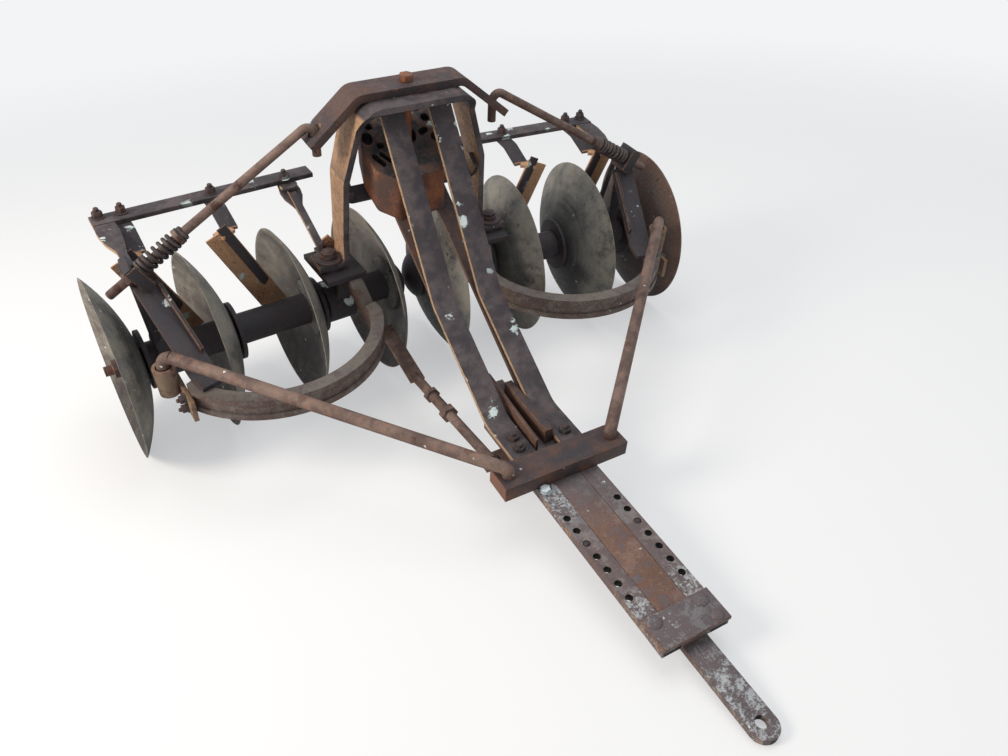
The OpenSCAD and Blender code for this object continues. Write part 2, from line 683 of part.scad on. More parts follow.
spools(1);  // spools_right
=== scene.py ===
"""Dresses a two-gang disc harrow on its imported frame: old iron, springs, bolts, threads and a plain stage."""

import math
from functools import cache

import bmesh
import bpy
from bpy.props import FloatProperty, FloatVectorProperty, IntProperty, PointerProperty
from mathutils import Matrix, Vector


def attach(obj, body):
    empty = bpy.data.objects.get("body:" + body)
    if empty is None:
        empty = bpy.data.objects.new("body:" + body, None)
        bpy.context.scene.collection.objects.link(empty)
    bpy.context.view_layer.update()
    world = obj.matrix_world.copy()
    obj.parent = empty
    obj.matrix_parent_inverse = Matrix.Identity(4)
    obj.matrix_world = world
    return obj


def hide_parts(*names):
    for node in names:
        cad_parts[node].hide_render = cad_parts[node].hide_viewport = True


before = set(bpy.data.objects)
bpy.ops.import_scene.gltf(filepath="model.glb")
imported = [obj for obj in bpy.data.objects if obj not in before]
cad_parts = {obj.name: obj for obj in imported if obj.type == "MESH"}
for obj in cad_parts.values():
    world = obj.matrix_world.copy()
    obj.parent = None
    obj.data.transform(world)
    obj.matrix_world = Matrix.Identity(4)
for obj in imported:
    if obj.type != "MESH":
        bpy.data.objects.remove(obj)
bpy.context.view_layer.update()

bl_info = {
    "name": "Disc Harrow",
    "version": (1, 0, 0),
    "blender": (4, 5, 0),
    "location": "3D View > Sidebar > Disc Harrow",
    "description": "Finishes, springs, fasteners and stage of a parked disc harrow",
    "category": "Object",
}

MM = 0.001

# Sizes, places and angles that the construction gives, in millimetres and degrees. The level frame's axes
# start on the axle line: x right, y back, z up. A gang's own axes run out along its axle, back and up from
# its outermost rim.
TIP = 7.90336
SHIFT_Y = 771.21
GANG_ANGLE = 4
RIM_X = 1043

# Discs, axle and spools
DISC_R = 305
DISH = 95
DISC_PITCH = 300
DISC_N = 4
AXLE_SQ = 35
SPOOL_D = 108
FLANGE_D = 200
FLANGE_LIFT = 15.7

# King pin: in the gang's and in the frame's axes
KING = (-734, -81)
KING_X = 305.1
KING_Y = -29.6
SEAT_H = 205
LEG_T = 20
PLATE_Z = 195

# Scraper bar, and the wide leg under it
BAR_H = 345
BAR_T = 16
LEG_FROM = (-160, -60)
LEG_TURN = -101.3
LEG_RUN = 263
LEG_RISE = BAR_H - 41 - 130.3

# Spring rod and its eye plate
EYE = (-140, -42, 343)
EYE_T = 24
ROD_TOP = 710
SPRING_ROD_D = 28
SPRING_D = 58
SPRING_L = 150

# Hitch
HITCH_TOP = 5
HOLE_X = 84
HOLE_Y = -1198
HOLE_PITCH = 48
CROSS_Y = -1025
CROSS_W = 90
LINK_ENDS = (-152, -895, -14), (-184, -430, -30)

# Deck of the casting, on the slope of the draw bars
BAR_SLOPE = 31.54
DECK_Z = 526.2
CAST_Y = 165

SIDES = "left", "right"
RIGHT = (1, 0, 0)
MIRROR = Matrix.Scale(-1, 4, RIGHT)


def at(x, y, z):
    """A shift in millimetres."""
    return Matrix.Translation((x * MM, y * MM, z * MM))


def turn(degrees, axis):
    """A turn about one axis."""
    return Matrix.Rotation(math.radians(degrees), 4, axis)


# The level frame as it parks, and its own directions
PARK = at(0, SHIFT_Y, DISC_R) @ turn(TIP, "X")
BACK, UP = PARK.col[1].xyz, PARK.col[2].xyz
# Lays what stands up along x
ACROSS = turn(90, "Y")


def frame_place(side):
    """The level frame, mirrored for the left-hand side."""
    return PARK @ MIRROR if side == "left" else PARK


def gang_place(side):
    """The gang's own axes: x out along the axle from the outermost rim, y back."""
    return frame_place(side) @ at(RIM_X, 0, 0) @ turn(-GANG_ANGLE, "Z")


def spring_axes():
    """Axes at the eye plate in the gang's own axes, x out along the spring rod."""
    run = Vector((EYE[0] - KING[0], EYE[1] - KING[1]))
    drop = math.degrees(math.atan2(ROD_TOP - EYE[2], run.length))
    return at(*EYE) @ turn(math.degrees(math.atan2(run.y, run.x)), "Z") @ turn(drop, "Y")


def link_axes():
    """Axes at the draft link's front end in the level frame, z along the link."""
    low, high = (Vector(end) for end in LINK_ENDS)
    return at(*low) @ (high - low).to_track_quat("Z", "Y").to_matrix().to_4x4()


def operator(operation, turned=False):
    """One of Python's operators on values, as a Math node."""

    def work(self, other):
        return self.shader.maths(operation, *((other, self) if turned else (self, other)))

    return work


class Value:
    """One output of a shader node, with Python's arithmetic on it."""

    __add__, __radd__ = operator("ADD"), operator("ADD", True)
    __sub__, __rsub__ = operator("SUBTRACT"), operator("SUBTRACT", True)
    __mul__, __rmul__ = operator("MULTIPLY"), operator("MULTIPLY", True)
    __gt__, __lt__ = operator("GREATER_THAN"), operator("LESS_THAN")

    def __init__(self, shader, socket):
        self.shader = shader
        self.socket = socket

    def other(self, name):
        """Another output of the same node."""
        return Value(self.shader, pick(self.socket.node.outputs, name))


def pick(sockets, key):
    """The socket with this place, identifier or name."""
    if isinstance(key, int):
        return sockets[key]
    for socket in sockets:
        if socket.identifier == key:
            return socket
    return sockets[key]


class Tree:
    """A tree of nodes, written as Python expressions."""

    def __init__(self, tree):
        self.tree = tree
        tree.nodes.clear()

    def add(self, kind, settings=None, values=None, output=0):
        """A node of this kind: its settings first, then its sockets' values or links."""
        node = self.tree.nodes.new(kind)
        for name, value in (settings or {}).items():
            setattr(node, name, value)
        for name, value in (values or {}).items():
            self.feed(pick(node.inputs, name), value)
        return Value(self, pick(node.outputs, output)) if node.outputs else None

    def feed(self, socket, value):
        """Links a value to a socket, or sets the socket to a plain number or colour."""
        if isinstance(value, Value):
            self.tree.links.new(value.socket, socket)
        else:
            socket.default_value = value

    def maths(self, operation, *terms):
        return self.add("ShaderNodeMath", {"operation": operation}, dict(enumerate(terms)))

    def vectors(self, operation, *terms, output=0):
        return self.add("ShaderNodeVectorMath", {"operation": operation}, dict(enumerate(terms)), output)

    def ramp(self, value, low, high, start=0.0, end=1.0):
        """Eases from start to end while value goes from low to high."""
        return self.add(
            "ShaderNodeMapRange",
            {"interpolation_type": "SMOOTHSTEP"},
            {"Value": value, "From Min": low, "From Max": high, "To Min": start, "To Max": end},
        )

    def mix(self, factor, a, b):
        """Colour a turning into colour b. A word stands for that colour of the settings."""
        a, b = (getattr(colours(), tint) if isinstance(tint, str) else tint for tint in (a, b))
        return self.add(
            "ShaderNodeMix",
            {"data_type": "RGBA"},
            {"Factor_Float": factor, "A_Color": a, "B_Color": b},
            "Result_Color",
        )


# Specular level of old iron
DULL = 0.22


class Shader(Tree):
    """The node tree of one material, with the patterns that old iron needs."""

    def __init__(self, name):
        self.material = bpy.data.materials.new(name)
        self.material.use_nodes = True
        super().__init__(self.material.node_tree)
        self.here = self.add("ShaderNodeTexCoord", output="Object")
        self.facing = self.here.other("Normal")

    def noise(self, scale, detail=4.0, shift=0.0, rough=0.55, stretch=None):
        """Cloudy pattern with this many lumps to a metre."""
        where = self.vectors("ADD", self.here, (shift, shift * 0.7, shift * 1.3))
        if stretch:
            where = self.vectors("MULTIPLY", where, stretch)
        return self.add(
            "ShaderNodeTexNoise",
            {"noise_dimensions": "3D"},
            {"Vector": where, "Scale": scale, "Detail": detail, "Roughness": rough},
            "Fac",
        )

    def crusts(self, scale, share, shift=0.0, low=0.12, high=0.42):
        """Ragged crusts: this share of the cells of a cell pattern holds one, each of its own size."""
        ragged = self.noise(scale * 3.4, 6, shift, 0.72)
        place = self.vectors("ADD", self.here, (shift, shift * 2.0, shift * 0.5))
        values = {"Vector": place, "Scale": scale}
        cell = self.add("ShaderNodeTexVoronoi", {"feature": "F1"}, values, "Distance")
        tint = cell.other("Color")
        chance = self.dot(tint, (1, 0, 0))
        size = self.dot(tint, (0, 1, 0)) * (high - low) + low
        return self.ramp(cell + (ragged - 0.5) * 1.1 - size, 0.03, -0.03) * (chance > 1 - share)

    def pits(self, scale, shift=0.0):
        """Small sharp pits of corroded iron, 1 at their bottoms."""
        return self.ramp(self.noise(scale, 3, shift, 0.6), 0.42, 0.30)

    def dot(self, a, b):
        """How far one vector reaches along another."""
        return self.vectors("DOT_PRODUCT", a, tuple(b), output="Value")

    def facing_to(self, direction):
        """How far a face looks along a direction, from -1 to 1."""
        return self.dot(self.facing, direction)

    def along(self, direction):
        """How far a place lies along a direction, in metres."""
        return self.dot(self.here, direction)

    def size_of(self, value):
        """The value without its sign."""
        return self.maths("ABSOLUTE", value)

    def coat(self, share, tint):
        """Lays one more colour over the skin."""
        self.skin = self.mix(share, self.skin, tint)

    def surface(self, rough, height, metallic, strength, depth):
        """Closes the tree with the shader and its output."""
        normal = self.add("ShaderNodeBump", None, {"Strength": strength, "Distance": depth, "Height": height})
        values = {
            "Base Color": self.skin,
            "Roughness": rough,
            "Normal": normal,
            "Metallic": metallic,
            "Specular IOR Level": DULL,
        }
        shader = self.add("ShaderNodeBsdfPrincipled", None, values)
        self.add("ShaderNodeOutputMaterial", None, {"Surface": shader})
        return self.material


def linear(step):
    """One of the 0 to 255 steps of a screen as Blender's linear number."""
    part = step / 255
    return part / 12.92 if part <= 0.04045 else ((part + 0.055) / 1.055) ** 2.4


def colour_setting(name, note, *steps):
    """A colour for the user to set, by default these steps of red, green and blue."""
    return FloatVectorProperty(
        name=name,
        description=note,
        subtype="COLOR",
        size=4,
        min=0.0,
        max=1.0,
        default=(*map(linear, steps), 1.0),
    )


def length_setting(name, note, millimetres):
    """A length for the user to set."""
    return FloatProperty(
        name=name, description=note, unit="LENGTH", subtype="DISTANCE", default=millimetres * MM, min=0.0
    )


class HarrowColours(bpy.types.PropertyGroup):
    """Colours of the old iron."""

    bar: colour_setting("Bars", "Dark skin of the frame's bars", 64, 59, 62)
    # Also the painted sheen along the tops of the round rods.
    bar_pale: colour_setting("Bars, weathered, and rod sheen", "Paler weathered patches on bars", 94, 86, 87)
    brown: colour_setting("Brown rust", "Old brown rust", 112, 84, 70)
    rust: colour_setting("Bright rust", "Orange rust on sides and edges", 146, 92, 64)
    # Also the painted sunlit tan on the side faces of the mast legs and the arch.
    tan: colour_setting("Tan rust and sunlit tan", "Pale tan rust of the broad flanks", 184, 146, 114)
    # Also the painted shade under the round rods.
    rust_deep: colour_setting("Deep rust and rod shade", "Dark red-brown rust", 72, 45, 36)
    # Also the painted sunlit colour on the side faces of the bars.
    edge: colour_setting("Worn edges and sunlit sides", "Rubbed edges of bars and discs", 196, 164, 128)
    lichen: colour_setting("Lichen", "Pale crusts", 196, 208, 206)
    moss: colour_setting("Moss", "Green-grey growth", 82, 90, 52)
    # Also the painted shade under downward faces, on the discs' lower parts, in holes and openings.
    black: colour_setting("Pits and painted shade", "Black of pits and old grease", 26, 23, 24)
    rod: colour_setting("Rods", "Reddish grey of the round rods", 124, 104, 94)
    rod_dark: colour_setting("Rods, dark", "Darker brown of the round rods", 90, 71, 65)
    yoke: colour_setting("Yokes", "Grey-brown of the yokes' upper faces", 110, 103, 96)
    hitch: colour_setting("Hitch", "Purple-grey of the hitch bars", 100, 90, 92)
    hitch_pale: colour_setting("Hitch, bleached", "Bleached patches of the hitch", 178, 182, 184)
    disc: colour_setting("Discs", "Grey faces of the discs", 120, 120, 117)
    disc_dark: colour_setting("Discs, stained", "Dark stains of the discs", 64, 61, 58)
    disc_warm: colour_setting("Discs, ochre", "Ochre dirt on the discs", 150, 143, 130)
    casting: colour_setting("Castings", "Dark skin of castings and spools", 58, 56, 60)
    socket: colour_setting("Sockets", "Olive tan of the rod sockets", 112, 98, 76)
    zinc: colour_setting("New bolt", "Bright plated bolt", 205, 216, 222)


class HarrowSizes(bpy.types.PropertyGroup):
    """Sizes of the small pieces."""

    wire: length_setting("Spring wire", "Diameter of the springs' wire", 11.5)
    turns: IntProperty(name="Spring turns", description="Turns of each spring", default=8, min=4, max=12)
    bolt: length_setting("Bolt head", "Width across the flats of a common bolt head", 30)
    big_bolt: length_setting("Big nut", "Width across the flats of a large nut", 44)
    pitch: length_setting("Thread pitch", "Distance from crest to crest of the threads", 4.0)


class StageSettings(bpy.types.PropertyGroup):
    """The floor and the lights."""

    floor: colour_setting("Floor", "Colour of the floor", 236, 235, 233)
    backdrop: colour_setting("Backdrop", "Colour behind the floor", 243, 244, 246)
    key: FloatProperty(name="Key light", description="Power of the large side light", default=210.0, min=0.0)
    fill: FloatProperty(
        name="Fill light", description="Strength of the light from all round", default=0.58, min=0.0
    )
    glow: FloatProperty(
        name="Floor glow",
        description="Share of plain white that the camera sees on the floor",
        default=0.5,
        min=0.0,
        max=1.0,
    )


def colours():
    """The colours as the user has set them."""
    return bpy.context.scene.harrow_colours


def sizes():
    """The sizes as the user has set them."""
    return bpy.context.scene.harrow_sizes


def old_iron(name, base, pale, flank, flank_share, crust, rust, seed, shine=0.2, patch=34, wall=0.0):
    """Weathered iron: dark skin with pale patches, rust and painted sunlit tan on the flanks, painted shade
    below, pits and a few ragged crusts.
    """
    s = Shader(name)
    clouds = s.noise(7, 5, seed)
    patches = s.noise(patch, 6, seed + 3)
    fine = s.noise(150, 6, seed + 5, 0.65)
    pits = s.pits(420, seed)
    s.skin = s.mix(s.ramp(clouds * 0.45 + patches * 0.4 + fine * 0.15, 0.43, 0.60), base, pale)
    s.coat(s.ramp(fine * 0.6 + patches * 0.4, 0.52, 0.68) * 0.75, "rust_deep")
    low = 0.62 - rust * 0.2
    s.coat(s.ramp(patches * 0.5 + fine * 0.5, low, low + 0.08) * 0.65, "rust")
    walls = s.ramp(s.facing_to(UP), 0.75, 0.40) * wall
    s.coat(walls * s.ramp(patches * 0.5 + fine * 0.5, 0.38, 0.56), "rod_dark")
    # Faces looking along x take the flank colour: rust, and painted sunlit tan on bars, legs and arch.
    side = s.ramp(s.size_of(s.facing_to(RIGHT)), 0.84, 0.94)
    grain = s.noise(75, 6, seed + 8, 0.7)
    s.coat(side * s.ramp(clouds * 0.3 + grain * 0.7, 0.30, 0.46) * flank_share, flank)
    s.coat(side * s.ramp(patches * 0.4 + grain * 0.6, 0.48, 0.60) * flank_share * 0.55, "brown")
    s.coat(side * s.ramp(fine, 0.50, 0.62) * flank_share * 0.4, "rod_dark")
    # Painted shade: faces that look down darken towards black.
    s.coat(s.ramp(s.facing_to(UP), -0.1, -0.7) * 0.5, "black")
    s.coat(pits * 0.55, "black")
    where = s.ramp(s.noise(3.2, 2, seed + 9), 0.60 - crust * 0.5, 0.66 - crust * 0.5)
    crusts = s.crusts(17, 0.5, seed, 0.02, 0.36) * where * s.ramp(s.facing_to(UP), -0.1, 0.3)
    specks = s.crusts(62, 0.04, seed + 2, 0.0, 0.24) * s.ramp(clouds, 0.44, 0.54)
    crusts = s.maths("MAXIMUM", crusts, specks * (crust > 0) * 0.9) * s.ramp(side, 0.6, 0.1)
    s.coat(crusts * s.ramp(fine, 0.22, 0.44), "lichen")
    rough = s.ramp(fine * 0.7 + patches * 0.3, 0.3, 0.75, 0.48, 0.82)
    height = patches * 0.5 + fine * 0.9 - pits * 0.5 + crusts * 0.7
    return s.surface(rough, height, shine, 0.75, 0.0022)


def worn_edge(name, tint, seed):
    """Rubbed arrises of bars, brighter than their faces."""
    s = Shader(name)
    long = s.noise(16, 4, seed)
    fine = s.noise(110, 5, seed)
    grit = s.noise(520, 3, seed)
    s.skin = s.mix(s.ramp(long * 0.5 + fine * 0.5, 0.42, 0.56), "rust_deep", tint)
    s.coat(s.ramp(grit, 0.5, 0.7) * 0.4, "edge")
    return s.surface(s.ramp(fine, 0.3, 0.7, 0.45, 0.75), fine + grit * 0.4, 0.25, 0.6, 0.0012)


def disc_steel(name, side, seed, outer=0.0):
    """Weathered disc: scoured streaks about the axle, stains by the hub, painted shade towards the bottom, dark
    pits, pale rim.
    """
    s = Shader(name)
    place = gang_place(side)
    axle = tuple(place.col[0].xyz.normalized())
    arm = s.vectors("SUBTRACT", s.here, tuple(place.translation))
    run = s.dot(arm, axle)
    on_axle = s.add("ShaderNodeVectorMath", {"operation": "SCALE"}, {0: axle, "Scale": run})
    reach = s.vectors("LENGTH", s.vectors("SUBTRACT", arm, on_axle), output="Value")
    stir = s.noise(6, 5, seed)
    broad = s.vectors("MULTIPLY", s.here, (4, 4, 4))
    rings = s.add(
        "ShaderNodeTexNoise",
        {"noise_dimensions": "4D"},
        {"Vector": broad, "W": reach * 55, "Scale": 1.0, "Detail": 4.0},
        "Fac",
    )
    patches = s.noise(24, 6, seed + 2, 0.62)
    fine = s.noise(120, 6, seed + 4, 0.68)
    pits = s.pits(300, seed)
    hollow = s.ramp(s.facing_to(axle), -0.1, 0.1)
    s.skin = s.mix(s.ramp(stir * 0.5 + fine * 0.3 + rings * 0.2, 0.36, 0.56), "disc_dark", "disc")
    s.coat(s.ramp(fine * 0.8 + patches * 0.2, 0.52, 0.66) * 0.5, "disc_dark")
    s.coat(s.ramp(stir + rings * 0.3, 0.66, 0.84) * 0.4, "disc_warm")
    s.coat(hollow * s.ramp(patches * 0.7 + fine * 0.3, 0.62, 0.42) * 0.35, "brown")
    band = s.ramp(reach + stir * 0.10, 0.255, 0.285) * s.ramp(patches, 0.35, 0.6)
    s.coat(band * 0.5, "disc_warm")
    rusty = s.ramp(run, -0.150, -0.140) * outer
    s.coat(rusty * s.ramp(fine * 0.5 + patches * 0.5, 0.34, 0.50) * 0.85, "rod_dark")
    rim_rust = s.ramp(reach + patches * 0.05, 0.275, 0.315) * s.ramp(fine, 0.36, 0.5)
    s.coat(rusty * rim_rust * 0.8, "brown")
    # Painted shade: the discs darken towards black near the ground.
    low = s.ramp(s.along((0, 0, 1)) + (stir - 0.5) * 0.5, 0.30, 0.06)
    s.coat(low * 0.75, "black")
    dirt = s.ramp(reach + stir * 0.10, 0.24, 0.11)
    s.coat(dirt * 0.8, "casting")
    scabs = s.crusts(50, 0.08, seed + 5, 0.0, 0.3) * s.ramp(reach, 0.16, 0.22)
    s.coat(scabs * 0.6, "black")
    growth = s.crusts(8, 0.12, seed + 8, 0.1, 0.3) * s.ramp(fine, 0.38, 0.52) * s.ramp(reach, 0.26, 0.18)
    s.coat(growth * 0.75, "moss")
    s.coat(s.ramp(reach + patches * 0.012, 0.3065, 0.3105) * 0.6, "disc_warm")
    crust = s.crusts(46, 0.05, seed + 6, 0.0, 0.26)
    s.coat(crust * s.ramp(fine, 0.25, 0.45) * 0.9, "lichen")
    flecks = s.ramp(s.noise(210, 4, seed + 11, 0.7), 0.57, 0.66) * s.ramp(patches, 0.40, 0.55)
    s.coat(flecks * s.ramp(reach, 0.13, 0.2) * 0.3, "hitch_pale")
    s.coat(pits * 0.6, "black")
    rough = s.ramp(fine * 0.7 + stir * 0.3, 0.3, 0.7, 0.5, 0.8)
    height = rings * 0.45 + patches * 0.5 + fine * 0.8 - pits * 0.5 - scabs * 0.5 + growth * 1.5
    return s.surface(rough, height, 0.15, 0.7, 0.0022)


def rust_skin(name, base, pale, dark, seed, crust=0.0):
    """Open orange or tan rust with dark stains."""
    s = Shader(name)
    clouds = s.noise(11, 5, seed)
    patches = s.noise(42, 6, seed + 1, 0.62)
    fine = s.noise(170, 6, seed + 2, 0.65)
    pits = s.pits(460, seed)
    s.skin = s.mix(s.ramp(clouds * 0.5 + fine * 0.5, 0.42, 0.58), base, pale)
    s.coat(s.ramp(patches * 0.7 + clouds * 0.3, 0.52, 0.66) * 0.85, dark)
    s.coat(pits * 0.5, "rust_deep")
    crusts = s.crusts(38, 0.3, seed) * s.ramp(clouds, 0.50, 0.56)
    s.coat(crusts * crust, "lichen")
    height = patches * 0.5 + fine * 0.9 - pits * 0.5
    return s.surface(s.ramp(fine, 0.3, 0.7, 0.62, 0.9), height, 0.08, 0.75, 0.002)


def scraper_iron(name, side):
    """Scrapers: dark arms behind the discs, and blades of open rust with dark edges."""
    s = Shader(name)
    place = gang_place(side)
    arm = s.vectors("SUBTRACT", s.here, tuple(place.translation))
    back = s.dot(arm, place.col[1].xyz)
    clouds = s.noise(11, 5, 2)
    patches = s.noise(40, 6, 3, 0.62)
    fine = s.noise(160, 6, 4, 0.65)
    pits = s.pits(440, 1)
    arm = s.mix(s.ramp(clouds * 0.5 + fine * 0.5, 0.44, 0.56), "casting", "bar")
    arm = s.mix(s.ramp(patches * 0.5 + fine * 0.5, 0.54, 0.64) * 0.6, arm, "brown")
    blade = s.mix(s.ramp(clouds * 0.4 + fine * 0.6, 0.34, 0.50), "rust", "tan")
    blade = s.mix(s.ramp(patches * 0.6 + clouds * 0.4, 0.56, 0.66) * 0.45, blade, "rust_deep")
    s.skin = s.mix(s.ramp(back, 0.156, 0.146), arm, blade)
    crust = s.crusts(20, 0.45, 3, 0.06, 0.32) * s.ramp(clouds, 0.44, 0.52)
    s.coat(crust * s.ramp(fine, 0.22, 0.44), "lichen")
    s.coat(pits * 0.5, "black")
    height = patches * 0.5 + fine * 0.9 - pits * 0.5 + crust * 0.6
    return s.surface(s.ramp(fine, 0.3, 0.7, 0.6, 0.88), height, 0.1, 0.75, 0.0022)


def cast_block(name):
    """The ballast casting: dark pitted deck and orange sides with dark shade."""
    s = Shader(name)
    clouds = s.noise(9, 5)
    patches = s.noise(30, 6, 2, 0.62)
    fine = s.noise(150, 6, 4, 0.65)
    pits = s.pits(380)
    slope = PARK @ turn(BAR_SLOPE, "X")
    deck = s.ramp(s.facing_to(slope.col[2].xyz), 0.75, 0.95)
    top = s.mix(s.ramp(clouds * 0.5 + patches * 0.5, 0.42, 0.60), "casting", "bar_pale")
    top = s.mix(s.ramp(patches, 0.44, 0.62) * 0.8, top, "brown")
    streaks = s.noise(9, 4, 6, 0.6, (1.0, 1.0, 0.25))
    flank = s.mix(s.ramp(clouds * 0.7 + fine * 0.3, 0.44, 0.64), "rod_dark", "rust")
    flank = s.mix(s.ramp(streaks, 0.48, 0.60) * 0.8, flank, "rust_deep")
    flank = s.mix(s.ramp(patches * 0.7 + fine * 0.3, 0.58, 0.68) * 0.5, flank, "tan")
    # Painted shade: the walls of the openings, which lie within 126 mm of the casting's own middle, are painted
    # black.
    arm = s.vectors("SUBTRACT", s.here, tuple(PARK.translation))
    across, behind = s.dot(arm, RIGHT) + 0.024, s.dot(arm, BACK) + 0.020
    inside = s.ramp(across * across + behind * behind, 0.0160, 0.0156)
    flank = s.mix(inside, flank, "black")
    s.skin = s.mix(deck, flank, top)
    crust = s.crusts(20, 0.3, 0.0, 0.06, 0.3) * s.ramp(clouds, 0.46, 0.54) * s.ramp(s.facing_to(UP), 0.3, 0.7)
    s.coat(crust * s.ramp(fine, 0.22, 0.44), "lichen")
    s.coat(pits * 0.6, "black")
    height = patches * 0.7 + fine * 0.9 - pits * 0.6 + crust * 0.5
    return s.surface(s.ramp(fine, 0.3, 0.7, 0.6, 0.88), height, 0.1, 0.85, 0.0028)


def hitch_iron(name, seed, bare, bleached_at, span, chalky, haze, reach=0.0):
    """Hitch bars: purple-grey, a rubbed brown middle, and bleached patches about some places."""
    s = Shader(name)
    clouds = s.noise(8, 5, seed)
    patches = s.noise(32, 6, seed + 2, 0.62)
    fine = s.noise(150, 6, seed + 3, 0.66)
    pits = s.pits(430, seed)
    forward = s.along((0, 1, 0))
    s.skin = s.mix(s.ramp(clouds * 0.5 + patches * 0.5, 0.43, 0.60), "hitch", "bar_pale")
    s.coat(s.ramp(fine * 0.6 + patches * 0.4, 0.50, 0.64) * 0.6, "rod_dark")
    rubbed = s.ramp(forward + clouds * 0.3, -0.18, -0.34) * s.ramp(forward + clouds * 0.15, -0.86, -0.72)
    s.coat(rubbed * bare * s.ramp(patches, 0.34, 0.54), "brown")
    s.coat(rubbed * bare * s.ramp(fine * 0.5 + clouds * 0.5, 0.48, 0.60) * 0.4, "rust")
    worn = s.ramp(clouds * 0.3 + patches * 0.4 + fine * 0.3, 0.50, 0.56) * haze
    for place in bleached_at:
        centre = tuple(PARK @ (Vector(place) * MM))
        away = s.vectors("DISTANCE", s.here, centre, output="Value")
        near = s.ramp(away + (patches - 0.5) * span * 0.9, span, span * 0.45)
        chalk = s.ramp(fine * 0.5 + patches * 0.5, 0.56 - chalky, 0.66 - chalky)
        worn = s.maths("MAXIMUM", worn, near * chalk)
    s.coat(worn * 0.85, "hitch_pale")
    # Painted shade: the walls of the holes, inside the bars' outer sides, are black.
    walls = s.ramp(s.size_of(s.facing_to(UP)), 0.8, 0.5)
    off_middle = s.size_of(s.along(RIGHT))
    s.coat(walls * s.ramp(off_middle, reach, reach - 0.002), "black")
    side = s.ramp(s.size_of(s.facing_to(RIGHT)), 0.5, 0.9) * s.ramp(off_middle, reach - 0.002, reach)
    s.coat(side * s.ramp(patches, 0.40, 0.56) * 0.7, "brown")
    s.coat(side * s.ramp(fine * 0.5 + patches * 0.5, 0.54, 0.62) * 0.6, "tan")
    specks = s.crusts(60, 0.04, seed + 2, 0.04, 0.24)
    s.coat(specks * 0.9, "lichen")
    s.coat(pits * 0.5, "black")
    height = patches * 0.5 + fine * 0.9 - pits * 0.5
    return s.surface(s.ramp(fine, 0.3, 0.7, 0.5, 0.8), height, 0.2, 0.7, 0.002)


def round_rod(name, seed, dark=0.5):
    """Round rods: reddish grey with a painted grey sheen along their tops, painted shade underneath, dark scale
    and fine pits.
    """
    s = Shader(name)
    clouds = s.noise(6, 5, seed)
    patches = s.noise(28, 6, seed + 2, 0.62)
    fine = s.noise(140, 6, seed + 3, 0.66)
    pits = s.pits(430, seed)
    top = s.ramp(s.facing_to(UP), -0.2, 0.7)
    s.skin = s.mix(s.ramp(clouds * 0.4 + patches * 0.4 + fine * 0.2, 0.42, 0.58), "rod_dark", "rod")
    s.coat(s.ramp(patches * 0.6 + fine * 0.4, 0.54, 0.66) * 0.5, "rust")
    # Painted sheen: greyer patches along the tops of the rods.
    s.coat(top * s.ramp(fine * 0.6 + patches * 0.4, 0.50, 0.40) * 0.45, "bar_pale")
    scale = s.crusts(24, 0.35, seed + 4, 0.1, 0.4)
    s.coat(scale * dark, "rust_deep")
    # Painted shade: the undersides darken towards deep rust.
    s.coat(s.ramp(s.facing_to(UP), 0.0, -0.7) * 0.55, "rust_deep")
    specks = s.crusts(60, 0.03, seed + 6, 0.04, 0.24)
    s.coat(specks, "lichen")
    s.coat(pits * 0.45, "black")
    height = patches * 0.5 + fine * 0.8 - pits * 0.5 - scale * 0.3
    return s.surface(s.ramp(fine, 0.3, 0.7, 0.5, 0.78), height, 0.15, 0.7, 0.002)


def plated(name):
    """Bright plated steel of the one new bolt."""
    s = Shader(name)
    fine = s.noise(220, 4)
    s.skin = s.mix(s.ramp(fine, 0.4, 0.65) * 0.3, "zinc", "bar_pale")
    return s.surface(s.ramp(fine, 0.3, 0.7, 0.28, 0.45), fine, 0.5, 0.3, 0.0006)


# Bleached places of the hitch, in the frame's axes
SIDE_BLEACHED = (-78, -1120, 5), (-84, -1560, 5), (92, -1545, 5)
TONGUE_BLEACHED = (10, -1800, -20), (0, -1890, -20)

